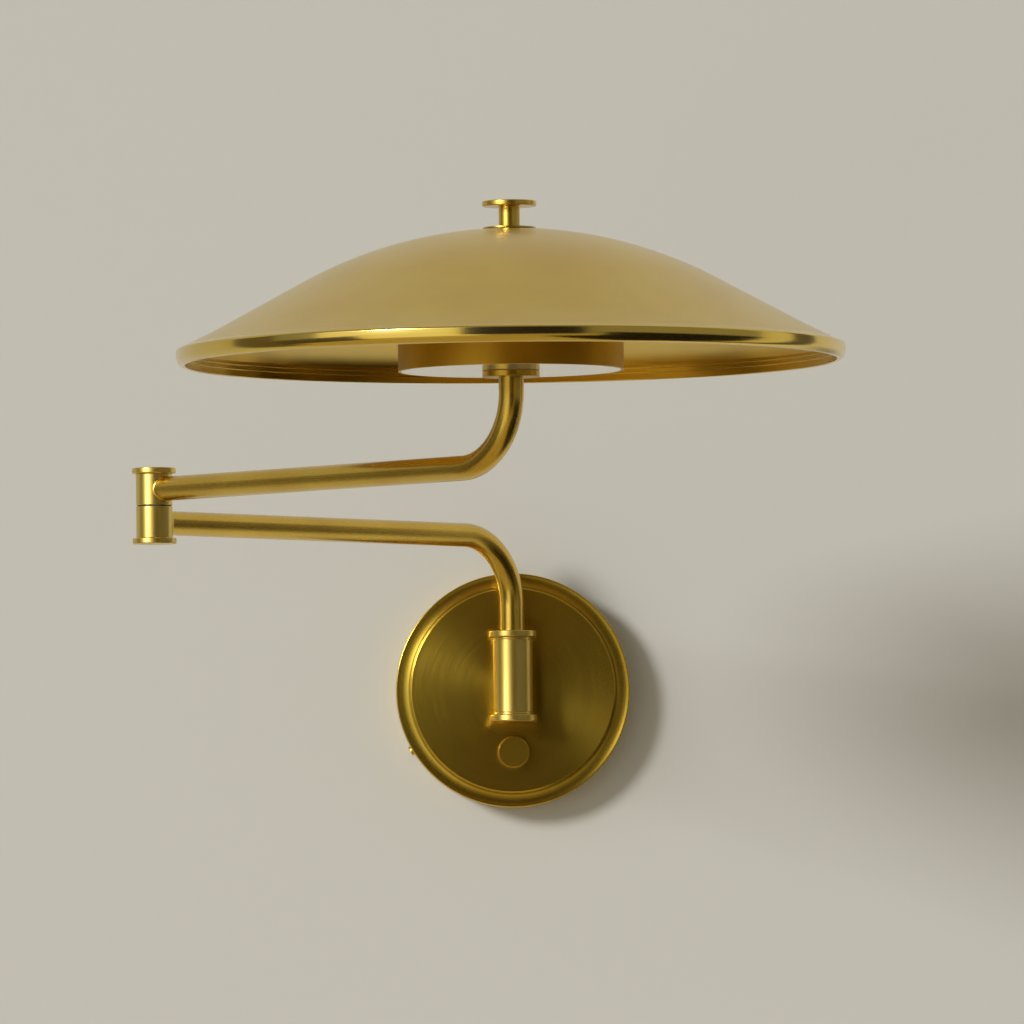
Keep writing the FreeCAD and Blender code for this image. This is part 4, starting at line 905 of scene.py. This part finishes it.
# %% Braze
BRAZE = 0.7 * MM
BRAZE_ROOT = 0.3 * BRAZE
BRAZE_STEPS = 96
BRAZE_SECTION = 5


def crossing(way, height, turn, tube_radius, barrel_radius):
    """Where a level tube meets an upright barrel, at one turn round the tube."""
    side = Vector((-way.y, way.x, 0.0))
    across = tube_radius * math.cos(turn)
    out = math.sqrt(barrel_radius ** 2 - across ** 2)
    rise = Vector((0.0, 0.0, tube_radius * math.sin(turn)))
    return ELBOW_AXIS + height - way * out + side * across + rise


def braze(name, way, height):
    """A hollow fillet of filler along that crossing."""
    bm = bmesh.new()
    lay = bm.verts.layers.float_vector.new("lay")
    rings = []
    for k in range(BRAZE_STEPS):
        turn = 2 * math.pi * k / BRAZE_STEPS
        root = crossing(way, height, turn, TUBE_RADIUS - BRAZE_ROOT, ELBOW_RADIUS - BRAZE_ROOT)
        on_tube = crossing(way, height, turn, TUBE_RADIUS, ELBOW_RADIUS + BRAZE)
        on_barrel = crossing(way, height, turn, TUBE_RADIUS + BRAZE, ELBOW_RADIUS)
        inner = crossing(way, height, turn, TUBE_RADIUS, ELBOW_RADIUS)
        ring = [root] + bow(on_tube, inner, on_barrel, BRAZE_SECTION)
        verts = [bm.verts.new(point) for point in ring]
        for vert in verts:
            vert[lay] = vert.co
        rings.append(verts)
    for k in range(BRAZE_STEPS):
        for j in range(len(rings[k])):
            bm.faces.new((rings[k - 1][j - 1], rings[k - 1][j], rings[k][j], rings[k][j - 1]))
    bmesh.ops.recalc_face_normals(bm, faces=bm.faces)
    mesh = bpy.data.meshes.new(name)
    bm.to_mesh(mesh)
    bm.free()
    bead = bpy.data.objects.new(name, mesh)
    bpy.context.scene.collection.objects.link(bead)
    return bead


dress(braze("lower_arm_braze", lower_way, LOWER_HEIGHT), drawn_brass, "lower_arm", "satin_brass")
dress(braze("upper_arm_braze", upper_way, UPPER_HEIGHT), drawn_brass, "upper_arm", "satin_brass")

# %% [markdown]
# ## Collar, window and drum
# From the stem upward: a turned collar carries the opal window, and a shallow spun drum above it holds the
# lamp board. All are round, so each is an outline spun round the stem, and only the corners differ: spun
# sheet has a soft shoulder outside and a tighter one inside, and a cut disc has a small, even edge.

# %% Collar, window and drum
COLLAR_EDGE = 0.4 * MM
WINDOW_EDGE = 0.3 * MM
collar_foot, collar_top = heights_of("seat_collar")
dress(disc("stem_collar", width_of("seat_collar") / 2, TUBE_RADIUS / 2, collar_foot, collar_top,
           STEM_AXIS, COLLAR_EDGE),
      faced_brass, "upper_arm", "satin_brass", "seat_collar")
window_foot, window_top = heights_of("diffuser")
dress(disc("opal_window", width_of("diffuser") / 2, TUBE_RADIUS, window_foot, window_top,
           STEM_AXIS, WINDOW_EDGE),
      opal_acrylic, "upper_arm", "opal_acrylic", "diffuser")
drum_foot, drum_top = heights_of("lamp_drum")
DRUM_RADIUS = width_of("lamp_drum") / 2
STEM_HOLE = 5.05 * MM
DRUM_LIP = 0.3 * MM
DRUM_SHOULDER = 1.6 * MM
DRUM_INSIDE = 0.6 * MM
DRUM_EDGE = 0.2 * MM
drum_outline = [(DRUM_RADIUS - SHEET, drum_foot, DRUM_LIP), (DRUM_RADIUS, drum_foot, DRUM_LIP),
                (DRUM_RADIUS, drum_top, DRUM_SHOULDER), (STEM_HOLE, drum_top), (STEM_HOLE, drum_top - SHEET),
                (DRUM_RADIUS - SHEET, drum_top - SHEET, DRUM_INSIDE)]
drum = spin("lamp_drum_spun", rounded(drum_outline, DRUM_EDGE), STEM_AXIS, segments=240)
dress(drum, deep_spun, "upper_arm", "satin_brass", "lamp_drum")

# %% [markdown]
# ## Shade
# The shade is one section spun round the stem: a ball-shaped crown, a straight cone that leaves it without
# a kink, and a slight flare to the rim. It could be a smoothed dome, but arcs that share their slope with
# the cone give the sheen the long, even run that spun metal has.

# %% Shade
CROWN_ROUND = 220.0 * MM
CROWN_REACH = 105.0 * MM
CONE_REACH = 145.0 * MM
SHADE_REACH = 165.6 * MM
FLARE_SLOPE = math.radians(24.5)
shade_top = heights_of("shade")[1]
crown_centre = shade_top - math.sqrt(CROWN_ROUND ** 2 - STEM_HOLE ** 2)
cone_slope = math.asin(CROWN_REACH / CROWN_ROUND)
cone_top = crown_centre + CROWN_ROUND * math.cos(cone_slope)
cone_foot = cone_top - (CONE_REACH - CROWN_REACH) * math.tan(cone_slope)
flare_round = (SHADE_REACH - CONE_REACH) / (math.sin(cone_slope) - math.sin(FLARE_SLOPE))
flare_centre = (CONE_REACH + flare_round * math.sin(cone_slope),
                cone_foot + flare_round * math.cos(cone_slope))
RIGHT_ANGLE = math.pi / 2
CROWN_STEPS, FLARE_STEPS = 36, 10


def shade_line(inset):
    """The shade's section from its hole to its edge, set in by so much sheet."""
    crown_round = CROWN_ROUND - inset
    first = math.acos(STEM_HOLE / crown_round)
    crown = arc((0.0, crown_centre), crown_round, first, RIGHT_ANGLE - cone_slope, CROWN_STEPS)
    flare = arc(flare_centre, flare_round + inset,
                -RIGHT_ANGLE - cone_slope, -RIGHT_ANGLE - FLARE_SLOPE, FLARE_STEPS)
    return crown + flare


outer_line, inner_line = shade_line(0.0), shade_line(SHEET)
shade = spin("shade_spun", outer_line + inner_line[::-1], STEM_AXIS, segments=256)
dress(shade, spun_brass, "upper_arm", "satin_brass", "shade")

# %% [markdown]
# ## Rim
# A heavier ring closes the shade's edge and is buffed bright: a shoulder above, a curve tucked in below, and
# two hem lines inside, where the sheet is rolled over it. Its highlight is the sharpest line of all, so its
# section is drawn with curves instead of being beveled.

# %% Rim
RIM_SWELL = 3.4 * MM
RIM_TUCK = 0.6 * MM
RIM_LIP = 1.8 * MM
RIM_SHOULDER = 1.3 * MM
RIM_WAIST = 3.6 * MM
RIM_STEPS = 14
HEM_LINES = (0.45, 0.75)
HEM_ROUND = 0.5 * MM
HEM_EDGE = 0.1 * MM
rim_foot, rim_top = heights_of("shade_rim")
rim_out = SHADE_REACH + RIM_SWELL
lip = SHADE_REACH + RIM_TUCK
sheet_end = Vector((SHADE_REACH, rim_top))
shoulder = Vector((rim_out, rim_top - RIM_SWELL * math.tan(FLARE_SLOPE)))
waist = Vector((rim_out, rim_top - RIM_WAIST))
under = Vector((rim_out, rim_foot + RIM_SHOULDER))
rim_outline = rounded([tuple(sheet_end), (*shoulder, RIM_SHOULDER), tuple(waist)], EDGE, closed=False)
rim_outline += [tuple(point) for point in bow(waist, under, Vector((lip, rim_foot)), RIM_STEPS)][1:]
hem_foot, hem_top = Vector((lip - RIM_LIP, rim_foot)), Vector(inner_line[-1])
hem = [(lip, rim_foot), (*hem_foot, HEM_ROUND)]
for share in HEM_LINES:
    spot = hem_foot.lerp(hem_top, share)
    hem += [(spot.x, spot.y - GROOVE), (spot.x + GROOVE, spot.y), (spot.x, spot.y + GROOVE)]
rim_outline += rounded(hem + [tuple(hem_top)], HEM_EDGE, closed=False)[1:]
rim = spin("shade_rim_buffed", rim_outline, STEM_AXIS, segments=256)
dress(rim, buffed_brass, "upper_arm", "polished_brass", "shade_rim")

# %% [markdown]
# ## Finial
# What clamps the shade is a flat button on a short neck, over a thin washer. Both are turned on the stem's
# axis, and the neck runs into the button with a small curve, as a lathe tool leaves it.

# %% Finial
foot_low, foot_high = heights_of("finial_foot")
WASHER_RADIUS = width_of("finial_foot") / 2
WASHER_EDGE = 0.8 * MM
WASHER_ROUND = 0.15 * MM
FINIAL_NECK = 5.4 * MM
washer_outline = [(STEM_HOLE, foot_low), (WASHER_RADIUS, foot_low), (WASHER_RADIUS, foot_low + WASHER_EDGE),
                  (FINIAL_NECK + WASHER_EDGE, foot_high), (STEM_HOLE, foot_high)]
washer = spin("finial_washer", rounded(washer_outline, WASHER_ROUND), STEM_AXIS, segments=128)
dress(washer, bright_brass, "upper_arm", "satin_brass", "finial_foot")
finial_foot, finial_top = heights_of("finial")
FINIAL_RADIUS = width_of("finial") / 2
FINIAL_BUTTON = 2.7 * MM
NECK_ROUND = 0.8 * MM
button_foot = finial_top - FINIAL_BUTTON
finial_outline = [(0.0, finial_foot), (FINIAL_NECK, finial_foot), (FINIAL_NECK, button_foot, NECK_ROUND),
                  (FINIAL_RADIUS, button_foot, ROLLED_EDGE), (FINIAL_RADIUS, finial_top, ROLLED_EDGE),
                  (0.0, finial_top)]
finial = spin("finial_turned", rounded(finial_outline, EDGE, closed=False), STEM_AXIS, segments=128)
dress(finial, bright_brass, "upper_arm", "satin_brass", "finial")

# %% [markdown]
# ## Inner pieces
# What is left of the CAD model is inside or behind: plate, nuts, bushes, leads, driver and lamp board.
# Their shapes are right as they are, so each keeps its CAD mesh and takes the finish of its slot in the
# record.

# %% Finish the CAD nodes that stay
slot_of = {part["node"]: part["material_slot"] for part in frame["record"]["subparts"]}
finished = 0
for node, piece in frame["nodes"].items():
    if piece.hide_render:
        continue
    piece.data.materials.clear()
    piece.data.materials.append(INNER.get(slot_of[node], turned_brass))
    finished += 1
print(finished, "CAD nodes keep their shape")
